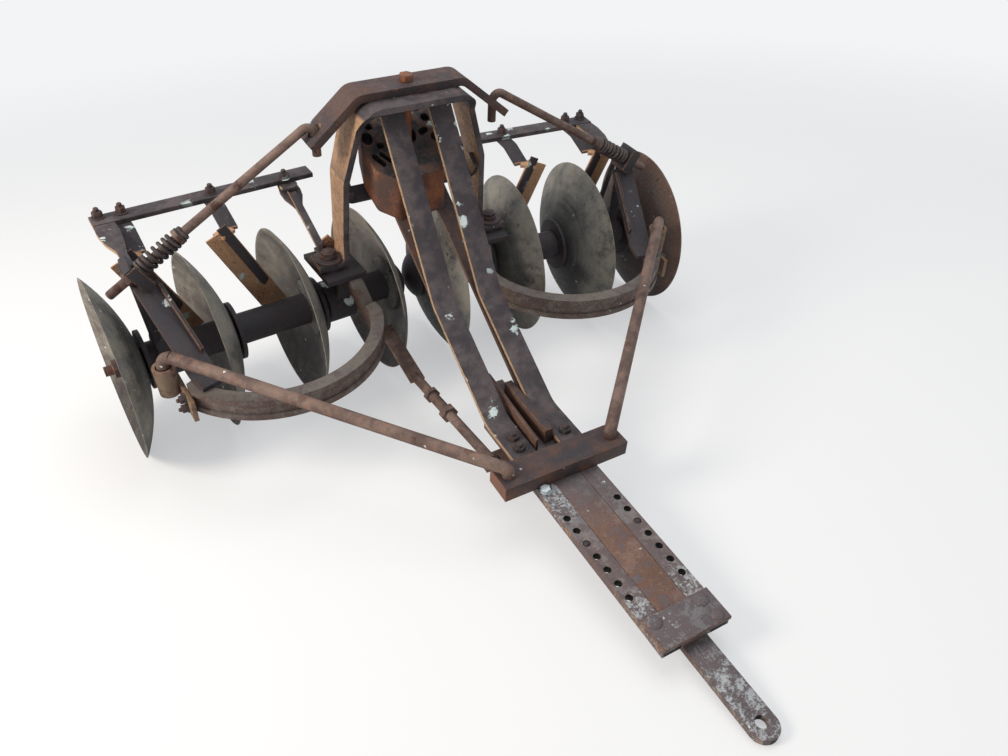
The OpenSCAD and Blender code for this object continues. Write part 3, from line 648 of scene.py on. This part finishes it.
# Each finish: what makes it, and what that takes after the name
RECIPES = {
    # old iron: skin, weathered skin, flanks, share of the flanks, crusts, rust, seed, shine, patches, walls
    "bar": (old_iron, "bar", "bar_pale", "edge", 0.9, 0.3, 0.1, 1.0),
    "draw bar": (old_iron, "bar", "bar_pale", "edge", 0.9, 0.6, 0.1, 1.0),
    "inner bar": (old_iron, "bar", "rod_dark", "brown", 0.8, 0.1, 0.2, 45.0),
    "leg": (old_iron, "bar", "bar_pale", "tan", 0.95, 0.16, 0.2, 4.0),
    "arch": (old_iron, "rod_dark", "bar", "tan", 0.7, 0.04, 0.35, 7.0),
    "standard": (old_iron, "casting", "bar", "brown", 0.4, 0.22, 0.08, 11.0),
    "yoke": (old_iron, "yoke", "bar_pale", "brown", 0.35, 0.06, 0.2, 15.0, 0.25, 34, 0.8),
    "spring": (old_iron, "bar", "yoke", "brown", 0.5, 0.0, 0.2, 23.0, 0.45),
    "spool": (old_iron, "casting", "bar", "black", 0.3, 0.0, 0.0, 27.0),
    "bolt": (old_iron, "rod_dark", "rust", "rust_deep", 0.4, 0.0, 0.35, 31.0),
    "dark bolt": (old_iron, "bar", "rod_dark", "rust_deep", 0.4, 0.0, 0.2, 35.0),
    "crossbar": (old_iron, "bar", "rod_dark", "rust", 0.45, 0.06, 0.25, 3.0, 0.2, 24),
    # open rust: skin, pale patches, stains, seed, crusts
    "blade": (rust_skin, "brown", "tan", "rust_deep", 2.0, 0.5),
    # Painted shade: the near-black sheets under the casting's openings.
    "hole": (rust_skin, "black", "casting", "black", 3.0),
    "socket": (rust_skin, "socket", "rod", "rust_deep", 6.0, 0.2),
    "washer": (rust_skin, "disc_dark", "disc", "casting", 12.0),
    # hitch bars: seed, bare middle, bleached places, their span, chalk, haze, painted shade of the holes within
    "hitch": (hitch_iron, 0.0, 0.9, ((-48, -1120, 5),), 0.03, 0.0, 0.15),
    "hitch side": (hitch_iron, 5.0, 0.2, SIDE_BLEACHED, 0.13, 0.09, 0.25, 0.1),
    "front plate": (hitch_iron, 13.0, 0.0, ((-70, -1600, 17),), 0.08, 0.04, 0.25),
    "tongue": (hitch_iron, 9.0, 0.0, TONGUE_BLEACHED, 0.15, 0.09, 0.4, 0.012),
    "rod": (round_rod, 19.0),
    "spring rod": (round_rod, 41.0, 0.8),
    "scrapers left": (scraper_iron, "left"),
    "scrapers right": (scraper_iron, "right"),
    "discs left": (disc_steel, "left", 1.0),
    "discs right": (disc_steel, "right", 5.0, 1.0),
    "casting": (cast_block,),
    "plated": (plated,),
    "worn": (worn_edge, "brown", 1.0),
    "worn rust": (worn_edge, "rust", 3.0),
    "worn pale": (worn_edge, "edge", 5.0),
}


@cache
def finish_of(key):
    """The material with this key, made the first time it is asked for."""
    maker, *values = RECIPES[key]
    return maker(key, *values)


# Each CAD node: its finish, that of its edges, and their radius. {side} stands for left and right
FINISHES = {
    "arch_bar": ("arch", "worn rust", 3.0),
    "mast_bow": ("leg", "worn", 2.5),
    "mast_tie": ("bar", "worn", 1.5),
    "draw_bar_{side}": ("draw bar", "worn pale", 2.0),
    "lower_bar_{side}": ("inner bar", "worn rust", 2.0),
    "centre_bars": ("inner bar", "worn", 2.0),
    "ballast_casting": ("casting", "casting", 6.0),
    "centre_bolt": ("bolt", "worn", 1.5),
    "hitch_side_{side}": ("hitch side", "worn", 2.0),
    "hitch_centre_bar": ("hitch", "worn", 1.5),
    "front_plate": ("front plate", "worn", 2.0),
    "tongue": ("tongue", "worn", 3.0),
    "draft_link": ("rod", "worn rust", 2.0),
    "king_pin_{side}": ("dark bolt", "worn", 1.5),
    "crossbar": ("crossbar", "worn rust", 2.0),
    "diagonal_rod_{side}": ("rod", "rod", 3.0),
    "yoke_{side}": ("yoke", "worn rust", 4.0),
    "outer_standard_{side}": ("standard", "worn", 2.0),
    "inner_standard_{side}": ("standard", "worn", 2.0),
    "rod_socket_{side}": ("socket", "worn rust", 2.0),
    "scraper_bar_{side}": ("bar", "worn", 2.0),
    "scrapers_{side}": ("scrapers {side}", "worn", 1.0),
    "spring_rod_{side}": ("spring rod", "worn", 2.0),
    "axle_{side}": ("dark bolt", "worn rust", 1.5),
    "discs_{side}": ("discs {side}", "worn pale", 0.0),
    "spools_{side}": ("spool", "spool", 4.0),
}

# Faces that meet at more than this stay sharp, and edges sharper than this are rounded
CREASE = math.radians(32)
ARRIS = math.radians(38)


@cache
def clean_shading():
    """Geometry nodes that shade smoothly and keep creases sharp."""
    group = bpy.data.node_groups.new("Clean shading", "GeometryNodeTree")
    group.interface.new_socket("Geometry", in_out="INPUT", socket_type="NodeSocketGeometry")
    group.interface.new_socket("Geometry", in_out="OUTPUT", socket_type="NodeSocketGeometry")
    g = Tree(group)
    shape = g.add("NodeGroupInput")
    bare = g.add("GeometryNodeRemoveAttribute", None, {"Geometry": shape, "Name": "custom_normal"})
    smooth = g.add("GeometryNodeSetShadeSmooth", None, {"Geometry": bare})
    angle = g.add("GeometryNodeInputMeshEdgeAngle", output="Unsigned Angle")
    steep = g.add("FunctionNodeCompare", {"operation": "GREATER_THAN"}, {0: angle, 1: CREASE}, "Result")
    sharp = g.add(
        "GeometryNodeSetShadeSmooth",
        {"domain": "EDGE"},
        {"Geometry": smooth, "Selection": steep, "Shade Smooth": False},
    )
    g.add("NodeGroupOutput", None, {0: sharp})
    return group


def modify(thing, name, kind, **settings):
    """Adds a modifier with its settings."""
    modifier = thing.modifiers.new(name, kind)
    for key, value in settings.items():
        setattr(modifier, key, value)


def soften(thing, radius, steps=2, flat=True):
    """Welds, rounds the sharp edges and shades smoothly."""
    modify(thing, "Weld", "WELD", merge_threshold=0.00002)
    if flat:
        modify(thing, "Flat faces", "DECIMATE", decimate_type="DISSOLVE", angle_limit=math.radians(0.6))
    if radius > 0:
        modify(
            thing,
            "Round edges",
            "BEVEL",
            width=radius * MM,
            segments=steps,
            limit_method="ANGLE",
            angle_limit=ARRIS,
            use_clamp_overlap=True,
            material=1,
            miter_outer="MITER_ARC",
        )
    modify(thing, "Clean shading", "NODES", node_group=clean_shading())


def paint(thing, face, edge=None):
    """Gives a piece its finish, and its edges theirs."""
    thing.data.materials.clear()
    thing.data.materials.append(finish_of(face))
    thing.data.materials.append(finish_of(edge or face))


# Openings in the casting's deck: x, y, width, length, turn
POCKETS = (
    (-54, 74, 30, 44, 20),
    (-116, 17, 20, 24, 0),
    (-136, -18, 34, 38, 70),
    (-104, -46, 18, 22, 0),
    (-128, -88, 16, 50, -55),
    (-102, -84, 13, 44, -50),
    (-80, -122, 18, 24, -20),
    (66, 50, 22, 26, 0),
    (80, 14, 24, 28, 10),
    (54, -26, 18, 34, 20),
    (86, -50, 26, 30, 30),
)


class Bits:
    """Small pieces of one body and finish, drawn into one mesh, in millimetres."""

    def __init__(self):
        self.mesh = bmesh.new()

    def draw(self, place, points, faces):
        """Adds points and faces, given in millimetres, at a place in metres."""
        flipped = place.determinant() < 0
        verts = [self.mesh.verts.new(place @ (Vector(p) * MM)) for p in points]
        for face in faces:
            order = reversed(face) if flipped else face
            self.mesh.faces.new([verts[i] for i in order])

    def lathe(self, place, profile, count):
        """Turns (radius, height) pairs about z. Ends at radius 0 are closed by one point."""
        points, rings = [], []
        for radius, height in profile:
            if radius <= 0:
                rings.append([len(points)])
                points.append((0, 0, height))
                continue
            rings.append([len(points) + i for i in range(count)])
            for i in range(count):
                a = 2 * math.pi * i / count
                points.append((radius * math.cos(a), radius * math.sin(a), height))
        faces = []
        for low, high in zip(rings, rings[1:]):
            for i in range(count):
                j = (i + 1) % count
                if len(low) == 1:
                    faces.append((low[0], high[j], high[i]))
                elif len(high) == 1:
                    faces.append((low[i], low[j], high[0]))
                else:
                    faces.append((low[i], low[j], high[j], high[i]))
        self.draw(place, points, faces)

    def hexagon(self, place, flats, height):
        """A hexagonal head or nut with chamfered corners."""
        r = flats / math.sqrt(3)
        self.lathe(place, [(0, 0), (r, 0), (r, height * 0.82), (r * 0.9, height), (0, height)], 6)

    def dome(self, place, width, height):
        """A low round head."""
        r = width / 2
        steps = 5
        angles = [math.pi / 2 * i / steps for i in range(steps)]
        arc = [(r * math.cos(a), height * math.sin(a)) for a in angles]
        self.lathe(place, [(0, 0)] + arc + [(0, height)], 24)

    def washer(self, place, width, thick):
        """A plain washer with broken edges."""
        r = width / 2
        self.lathe(place, [(0, 0), (r - 1, 0), (r, 0.8), (r, thick - 0.8), (r - 1, thick), (0, thick)], 28)

    def ring(self, place, section):
        """A turned ring: its closed section as (radius, height) pairs."""
        self.lathe(place, section + section[:1], 48)

    def thread(self, place, width, length, pitch):
        """A threaded shank with a chamfered tip."""
        r = width / 2
        depth = pitch * 0.45
        profile = [(0, 0)]
        for i in range(int(length / pitch)):
            profile += [(r - depth, i * pitch), (r, (i + 0.35) * pitch), (r, (i + 0.6) * pitch)]
        profile += [(r - depth, length), (r - depth * 2, length + 1.5), (0, length + 1.5)]
        self.lathe(place, profile, 24)

    def bolt(self, place, flats, shank):
        """Washer, hexagon and the threaded tip of the shank, standing on z = 0."""
        self.washer(place, flats * 1.45, 4)
        self.hexagon(place @ at(0, 0, 4), flats, flats * 0.62)
        self.thread(place @ at(0, 0, 4 + flats * 0.6), flats * 0.58, shank, 3.0)

    def tube(self, place, route, radius):
        """A round bar along a route of points."""
        count = 10
        points, faces = [], []
        ahead = [(Vector(b) - Vector(a)).normalized() for a, b in zip(route, route[1:])]
        side = ahead[0].orthogonal().normalized()
        for i, centre in enumerate(route):
            way = ahead[min(i, len(ahead) - 1)] + ahead[max(i - 1, 0)]
            way.normalize()
            side = (side - way * side.dot(way)).normalized()
            other = way.cross(side)
            for k in range(count):
                a = 2 * math.pi * k / count
                points.append(Vector(centre) + (side * math.cos(a) + other * math.sin(a)) * radius)
        for i in range(len(route) - 1):
            for k in range(count):
                j = (k + 1) % count
                faces.append((i * count + k, i * count + j, (i + 1) * count + j, (i + 1) * count + k))
        faces.append(tuple(reversed(range(count))))
        last = (len(route) - 1) * count
        faces.append(tuple(range(last, last + count)))
        self.draw(place, points, faces)

    def prism(self, place, low, high):
        """A solid between two outlines with as many points each."""
        n = len(low)
        faces = [tuple(reversed(range(n))), tuple(range(n, 2 * n))]
        faces += [(i, (i + 1) % n, n + (i + 1) % n, n + i) for i in range(n)]
        self.draw(place, low + high, faces)

    def plate(self, place, outline, thick):
        """A flat plate: an outline in x and y, with its thickness up z."""
        self.prism(place, [(x, y, 0) for x, y in outline], [(x, y, thick) for x, y in outline])

    def opening_shade(self, place, x, y, wide, long, turned):
        """Painted shade: a dark bottom, sunk below the sloping deck, for one opening."""
        r = wide / 2 - 0.4
        half = long / 2 - wide / 2
        a = math.radians(turned)
        outline = []
        for i in range(13):
            t = math.pi * (i / 12 - 0.5)
            outline.append((half + r * math.cos(t), r * math.sin(t)))
        outline += [(-px, -py) for px, py in outline]
        top = []
        for px, py in outline:
            qx = x + px * math.cos(a) - py * math.sin(a)
            qy = y + px * math.sin(a) + py * math.cos(a)
            top.append((qx, qy, DECK_Z + (qy + CAST_Y) * math.tan(math.radians(BAR_SLOPE)) - 18))
        self.prism(place, [(qx, qy, z - 12) for qx, qy, z in top], top)

    def piece(self, name, body, face, edge=None, radius=0.0):
        """Closes the mesh as one piece that rides on a body, and starts the next mesh."""
        bmesh.ops.recalc_face_normals(self.mesh, faces=self.mesh.faces)
        mesh = bpy.data.meshes.new(name)
        self.mesh.to_mesh(mesh)
        self.mesh.free()
        self.mesh = bmesh.new()
        thing = bpy.data.objects.new(name, mesh)
        bpy.context.scene.collection.objects.link(thing)
        paint(thing, face, edge)
        soften(thing, radius, flat=False)
        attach(thing, body)
        return thing


class HARROW_OT_dress_frame(bpy.types.Operator):
    """Gives every bar, disc and casting its finish and rounded edges"""

    bl_idname = "harrow.dress_frame"
    bl_label = "Dress the frame"

    def execute(self, context):
        for pattern, (face, edge, radius) in FINISHES.items():
            for side in SIDES if "{side}" in pattern else SIDES[:1]:
                name = pattern.format(side=side)
                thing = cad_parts.get(name)
                if thing is None:
                    raise RuntimeError(f"The frame has no piece named {name}")
                paint(thing, face.format(side=side), edge)
                soften(thing, radius, 3 if radius > 5 else 2, flat=radius > 0)
        return {"FINISHED"}


# Points to a turn of the springs, and how much closer than the others their end turns lie
TURN_POINTS = 28
END_CLOSING = 0.24


class HARROW_OT_springs(bpy.types.Operator):
    """Winds the coil spring of each spring rod"""

    bl_idname = "harrow.springs"
    bl_label = "Wind the springs"

    def execute(self, context):
        wire = sizes().wire / MM
        radius = (SPRING_D - wire) / 2
        near = -EYE_T / 2 - 0.5 - wire / 2
        count = sizes().turns * TURN_POINTS
        route = []
        for i in range(count + 1):
            share = i / count
            share -= END_CLOSING * math.sin(2 * math.pi * share) / (2 * math.pi)
            a = 2 * math.pi * i / TURN_POINTS
            route.append((near - (SPRING_L - wire) * share, radius * math.cos(a), radius * math.sin(a)))
        bits = Bits()
        for side in SIDES:
            bits.tube(gang_place(side) @ spring_axes(), route, wire / 2)
            coil = bits.piece(f"coil_spring_{side}", f"gang_frame_{side}", "spring")
            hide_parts(f"spring_{side}")
        return {"FINISHED"}


# Section of the two collars at the spring's upper end: radius, height
COLLARS = [(14, 0), (20, 0), (23, 2), (23, 9), (21, 11), (25, 13), (26.5, 15), (14, 15)]


class HARROW_OT_threads(bpy.types.Operator):
    """Cuts the threads of the spring rods, the axle ends and the draft link"""

    bl_idname = "harrow.threads"
    bl_label = "Cut the threads"

    def execute(self, context):
        pitch = sizes().pitch / MM
        bits = Bits()
        for side in SIDES:
            gang = gang_place(side)
            rod = gang @ spring_axes()
            bits.thread(rod @ at(EYE_T / 2 + 24, 0, 0) @ ACROSS, SPRING_ROD_D + 1.2, 68, pitch)
            bits.washer(rod @ at(EYE_T / 2, 0, 0) @ ACROSS, 60, 5)
            bits.piece(f"rod_thread_{side}", f"gang_frame_{side}", "spring rod")
            bits.ring(rod @ at(-EYE_T / 2 - SPRING_L - 30.6, 0, 0) @ ACROSS, COLLARS)
            bits.piece(f"spring_collar_{side}", f"gang_frame_{side}", "spring")
            bits.thread(gang @ at(94 - DISH, 0, 0) @ ACROSS, AXLE_SQ - 1, 24, pitch)
            bits.piece(f"axle_thread_{side}", f"gang_{side}", "bolt")
        link = PARK @ link_axes()
        bits.thread(link @ at(0, 0, 250), 34, 96, pitch)
        bits.hexagon(link @ at(0, 0, 236), 50, 26)
        bits.hexagon(link @ at(0, 0, 344), 46, 18)
        bits.piece("link_thread", "frame", "spring rod")
        return {"FINISHED"}


class HARROW_OT_washers(bpy.types.Operator):
    """Lays the large domed washers in the hollow sides of the discs"""

    bl_idname = "harrow.washers"
    bl_label = "Lay the washers"

    def execute(self, context):
        rim, bore = FLANGE_D / 2, SPOOL_D / 2
        section = [(rim + 0.7, 1), (rim + 0.7, 12), (rim - 1.5, 14.8), (rim - 30, 17), (bore + 3, 20)]
        section += [(bore + 0.4, 18), (bore + 0.4, 14.2), (rim + 0.3, 14.1)]
        bits = Bits()
        for side in SIDES:
            for i in range(1, DISC_N):
                hollow = at(-i * DISC_PITCH - DISH + FLANGE_LIFT, 0, 0)
                bits.ring(gang_place(side) @ hollow @ ACROSS, section)
            bits.piece(f"disc_washers_{side}", f"gang_{side}", "washer")
        return {"FINISHED"}


# Bolts of the scraper bar, in the gang's axes: out, back, turn; and the heads under its hangers
BAR_BOLTS = (-128, 340, 10), (-200, 336, 40), (-494, 322, 20), (-750, 300, 5)
BAR_HEADS = (-494, 300), (-200, 300)
# Collar of the king pin's nut: radius, height
KING_COLLAR = [(27, 0), (44, 0), (46, 2), (46, 7), (43, 9), (27, 9)]
# Bolts of the draw bars, in the frame's axes: x, y, turn; and rivets of the front plate: x, y, width
DRAW_BAR_BOLTS = (-74, -884, 10), (-80, -931, 30), (80, -927, 0)
PLATE_RIVETS = (-78, -1578, 42), (66, -1580, 42), (74, -1634, 34)


class HARROW_OT_fasteners(bpy.types.Operator):
    """Places the bolts, nuts, rivets and pegs"""

    bl_idname = "harrow.fasteners"
    bl_label = "Place the fasteners"

    def execute(self, context):
        flats = sizes().bolt / MM
        big = sizes().big_bolt / MM
        bits = Bits()
        for side in SIDES:
            gang = gang_place(side)
            for u, v, turned in BAR_BOLTS:
                bits.bolt(gang @ at(u, v, BAR_H) @ turn(turned, "Z"), flats, 12)
            for u, v in BAR_HEADS:
                bits.dome(gang @ at(u, v, BAR_H - BAR_T - 12.4) @ turn(180, "X"), 30, 9)
            # Socket plate and the yoke's end
            for z in (42, 78):
                bits.bolt(gang @ at(-140, -345, z) @ ACROSS, flats * 0.8, 8)
            # Foot of the inner hanger
            bits.bolt(gang @ at(-756, 18, PLATE_Z + 12.3), flats * 0.8, 6)
            bits.piece(f"bar_bolts_{side}", f"gang_frame_{side}", "dark bolt")
            king = frame_place(side) @ at(KING_X, KING_Y, SEAT_H + LEG_T)
            bits.hexagon(king @ at(0, 0, 20.3) @ turn(15, "Z"), big, 12)
            bits.dome(king @ at(0, 0, 32.3), 30, 5)
            bits.ring(king, KING_COLLAR)
            bits.piece(f"king_nuts_{side}", "frame", "dark bolt")
        for x, y, turned in DRAW_BAR_BOLTS:
            bits.bolt(PARK @ at(x, y, HITCH_TOP + 14.5) @ turn(turned, "Z"), flats * 1.15, 10)
        # Round head on the tab of the draft link
        bits.dome(PARK @ at(-140, -893, -20.3), 36, 13)
        bits.piece("draw_bar_bolts", "frame", "dark bolt")
        for x, y, wide in PLATE_RIVETS:
            bits.dome(PARK @ at(x, y, HITCH_TOP + 12.2), wide, 6)
        bits.piece("plate_rivets", "frame", "front plate")
        for x in (-HOLE_X, HOLE_X):
            bits.dome(PARK @ at(x, HOLE_Y - 2 * HOLE_PITCH, HITCH_TOP - 4), 19, 8)
        bits.piece("hitch_pegs", "frame", "crossbar")
        stop = PARK @ at(-85, CROSS_Y - CROSS_W / 2 - 16, HITCH_TOP + 0.4)
        bits.washer(stop, 30, 2.5)
        bits.hexagon(stop @ at(0, 0, 2.5) @ turn(12, "Z"), 27, 12)
        bits.piece("stop_bolt", "frame", "plated")
        return {"FINISHED"}


# Upper and lower end of a scraper blade, in the gang's axes, from its disc
BLADE_TOP = (-436, 118, BAR_H - 40)
BLADE_TIP = (-590, 106, -20)
# Strap along a blade's inner edge, folded ridge of the wide leg, lug: outlines of plates
BLADE_STRAP = [(-16, -43), (250, -39), (262, -14), (250, -8), (-16, -8)]
RIDGE = [(0, 4), (252, 4), (246, 19), (10, 19)]
LUG = [(-15, 0), (15, 0), (15, 9), (-15, 9)]
# One edge of the inner hanger's leaf, and the hanger's rise and run
LEAF_EDGE = [(-46, 29), (-10, 33), (22, 38), (52, 34), (78, 22), (100, 13.5), (128, 13.2)]
HANGER_RISE, HANGER_RUN = 110.7, 252


class HARROW_OT_straps(bpy.types.Operator):
    """Adds the small straps, ribs and lugs of the standards"""

    bl_idname = "harrow.straps"
    bl_label = "Add the straps"

    def execute(self, context):
        bits = Bits()
        for side in SIDES:
            gang = gang_place(side)
            leg = gang @ at(*LEG_FROM, 0) @ turn(LEG_TURN, "Z") @ turn(90, "X")
            drop = math.degrees(math.atan2(LEG_RISE, LEG_RUN))
            bits.plate(leg @ at(4, BAR_H - 47, 26) @ turn(-drop, "Z"), RIDGE, 12)
            # Bent clamp about the spring's outer end
            far, near = -EYE_T / 2 - 16, EYE_T / 2 + 1
            clamp = [(far, -47), (near, -47), (near, -39), (far, -39)]
            bits.plate(gang @ spring_axes() @ at(0, 0, -40), clamp, 80)
            bits.piece(f"leg_ridge_{side}", f"gang_frame_{side}", "standard", "worn", 2.0)
            # Lug behind the mast's foot
            lug = frame_place(side) @ at(250, 32, SEAT_H + 6) @ turn(8, "X") @ turn(34, "Y")
            bits.plate(lug, LUG, 78)
            bits.piece(f"mast_lug_{side}", "frame", "blade", "worn rust", 1.5)
            for disc in (DISC_PITCH, 0):
                top = Vector(BLADE_TOP)
                along = (Vector(BLADE_TIP) - top).normalized()
                across = along.cross(Vector((0, 1, 0))).normalized()
                out = along.cross(across)
                axes = Matrix((along, across, out)).transposed().to_4x4()
                bits.plate(gang @ at(disc, 0, 0) @ at(*(top + out * 3.2)) @ axes, BLADE_STRAP, 7)
            slope = math.atan2(HANGER_RISE, HANGER_RUN)
            run, rise = math.cos(slope), math.sin(slope)
            down = Matrix(((0, 1, 0), (-run, 0, rise), (-rise, 0, -run))).to_4x4()
            leaf = gang @ at(-756, 288, BAR_H - BAR_T - 5) @ down @ at(0, 0, 6.4)
            bits.plate(leaf, LEAF_EDGE + [(x, -y) for x, y in reversed(LEAF_EDGE)], 7)
            bits.piece(f"scraper_straps_{side}", f"gang_frame_{side}", "standard", "worn", 1.5)
        # Painted shade: dark sheets under the openings of the casting's deck.
        for opening in POCKETS:
            bits.opening_shade(PARK, *opening)
        bits.piece("casting_opening_shade", "frame", "hole")
        return {"FINISHED"}


# Lamps: place, target, width, share of the key light's power, colour
LAMPS = {
    "Key light": ((-4.4, 0.6, 3.0), (0.0, 0.3, 0.3), 2.0, 1.0, (1.0, 0.92, 0.82)),
    "Top light": ((0.8, 0.6, 5.0), (0.0, 0.2, 0.2), 4.0, 0.42, (0.96, 0.98, 1.0)),
}
SKY = (0.93, 0.96, 1.0, 1.0)
FLOOR_SIZE = 120
# Distances from the object over which the floor runs into the backdrop
FADE = 2.6, 7.0
CAMERA_AT = (-1.0320, -1.8255, 1.7427)
CAMERA_TURN = (56.239, 1.590, -29.615)
LENS = 30.03
SENSOR = 36.0


class HARROW_OT_stage(bpy.types.Operator):
    """Sets the floor, the lights and the camera"""

    bl_idname = "harrow.stage"
    bl_label = "Set the stage"

    def execute(self, context):
        scene = context.scene
        stage = scene.harrow_stage
        scene.view_settings.view_transform = "Standard"
        self.floor(stage)
        scene.world = bpy.data.worlds.new("Studio")
        scene.world.use_nodes = True
        self.surroundings(Tree(scene.world.node_tree), stage)
        for name, values in LAMPS.items():
            self.lamp(scene, name, stage.key, *values)
        self.camera(scene)
        return {"FINISHED"}

    def shown(self, tree):
        """1 on rays that go to the camera, off metal or through glass."""
        path = tree.add("ShaderNodeLightPath", output="Is Camera Ray")
        mirrored = tree.maths("MAXIMUM", path.other("Is Glossy Ray"), path.other("Is Transmission Ray"))
        return tree.maths("MAXIMUM", path, mirrored)

    def floor(self, stage):
        bpy.ops.mesh.primitive_plane_add(size=FLOOR_SIZE, location=(0, 0, -0.0005))
        floor = bpy.context.object
        floor.name = "floor"
        s = Shader("floor")
        matt = s.add("ShaderNodeBsdfDiffuse", None, {"Color": stage.floor})
        white = s.add("ShaderNodeEmission", None, {"Color": stage.backdrop, "Strength": 1.0})
        far = s.vectors("LENGTH", s.here, output="Value")
        plain = s.ramp(far, *FADE) * (1 - stage.glow) + stage.glow
        shared = s.add("ShaderNodeMixShader", None, {0: self.shown(s) * plain, 1: matt, 2: white})
        s.add("ShaderNodeOutputMaterial", None, {"Surface": shared})
        floor.data.materials.append(s.material)
        return floor

    def surroundings(self, sky, stage):
        soft = sky.add("ShaderNodeBackground", None, {"Color": SKY, "Strength": stage.fill})
        plain = sky.add("ShaderNodeBackground", None, {"Color": stage.backdrop, "Strength": 1.0})
        both = sky.add("ShaderNodeMixShader", None, {0: self.shown(sky), 1: soft, 2: plain})
        sky.add("ShaderNodeOutputWorld", None, {"Surface": both})

    def lamp(self, scene, name, power, place, target, width, share, tint):
        data = bpy.data.lights.new(name, "AREA")
        data.shape = "DISK"
        data.size = width
        data.energy = power * share
        data.color = tint
        lamp = bpy.data.objects.new(name, data)
        scene.collection.objects.link(lamp)
        lamp.location = place
        lamp.rotation_euler = (Vector(target) - Vector(place)).to_track_quat("-Z", "Y").to_euler()

    def camera(self, scene):
        data = bpy.data.cameras.new("Camera")
        data.sensor_width = SENSOR
        data.lens = LENS
        camera = bpy.data.objects.new("Camera", data)
        scene.collection.objects.link(camera)
        camera.location = CAMERA_AT
        camera.rotation_euler = [math.radians(a) for a in CAMERA_TURN]
        scene.camera = camera


class HARROW_PT_panel(bpy.types.Panel):
    """Sizes, colours and steps of the harrow"""

    bl_label = "Disc Harrow"
    bl_space_type = "VIEW_3D"
    bl_region_type = "UI"
    bl_category = "Disc Harrow"

    def draw(self, context):
        column = self.layout.column(align=True)
        for key, kind in SETTINGS.items():
            for name in kind.__annotations__:
                column.prop(getattr(context.scene, key), name)
            column.separator()
        for step in STEPS:
            column.operator(step.bl_idname)


SETTINGS = {"harrow_colours": HarrowColours, "harrow_sizes": HarrowSizes, "harrow_stage": StageSettings}
STEPS = (
    HARROW_OT_dress_frame,
    HARROW_OT_springs,
    HARROW_OT_threads,
    HARROW_OT_washers,
    HARROW_OT_straps,
    HARROW_OT_fasteners,
    HARROW_OT_stage,
)


def register():
    for kind in (*SETTINGS.values(), *STEPS, HARROW_PT_panel):
        bpy.utils.register_class(kind)
    for name, kind in SETTINGS.items():
        setattr(bpy.types.Scene, name, PointerProperty(type=kind))


def unregister():
    for name in SETTINGS:
        delattr(bpy.types.Scene, name)
    for kind in (HARROW_PT_panel, *reversed(STEPS), *SETTINGS.values()):
        bpy.utils.unregister_class(kind)


def main():
    register()
    bpy.ops.harrow.dress_frame()
    bpy.ops.harrow.springs()
    bpy.ops.harrow.threads()
    bpy.ops.harrow.washers()
    bpy.ops.harrow.straps()
    bpy.ops.harrow.fasteners()
    bpy.ops.harrow.stage()


if __name__ == "__main__":
    main()
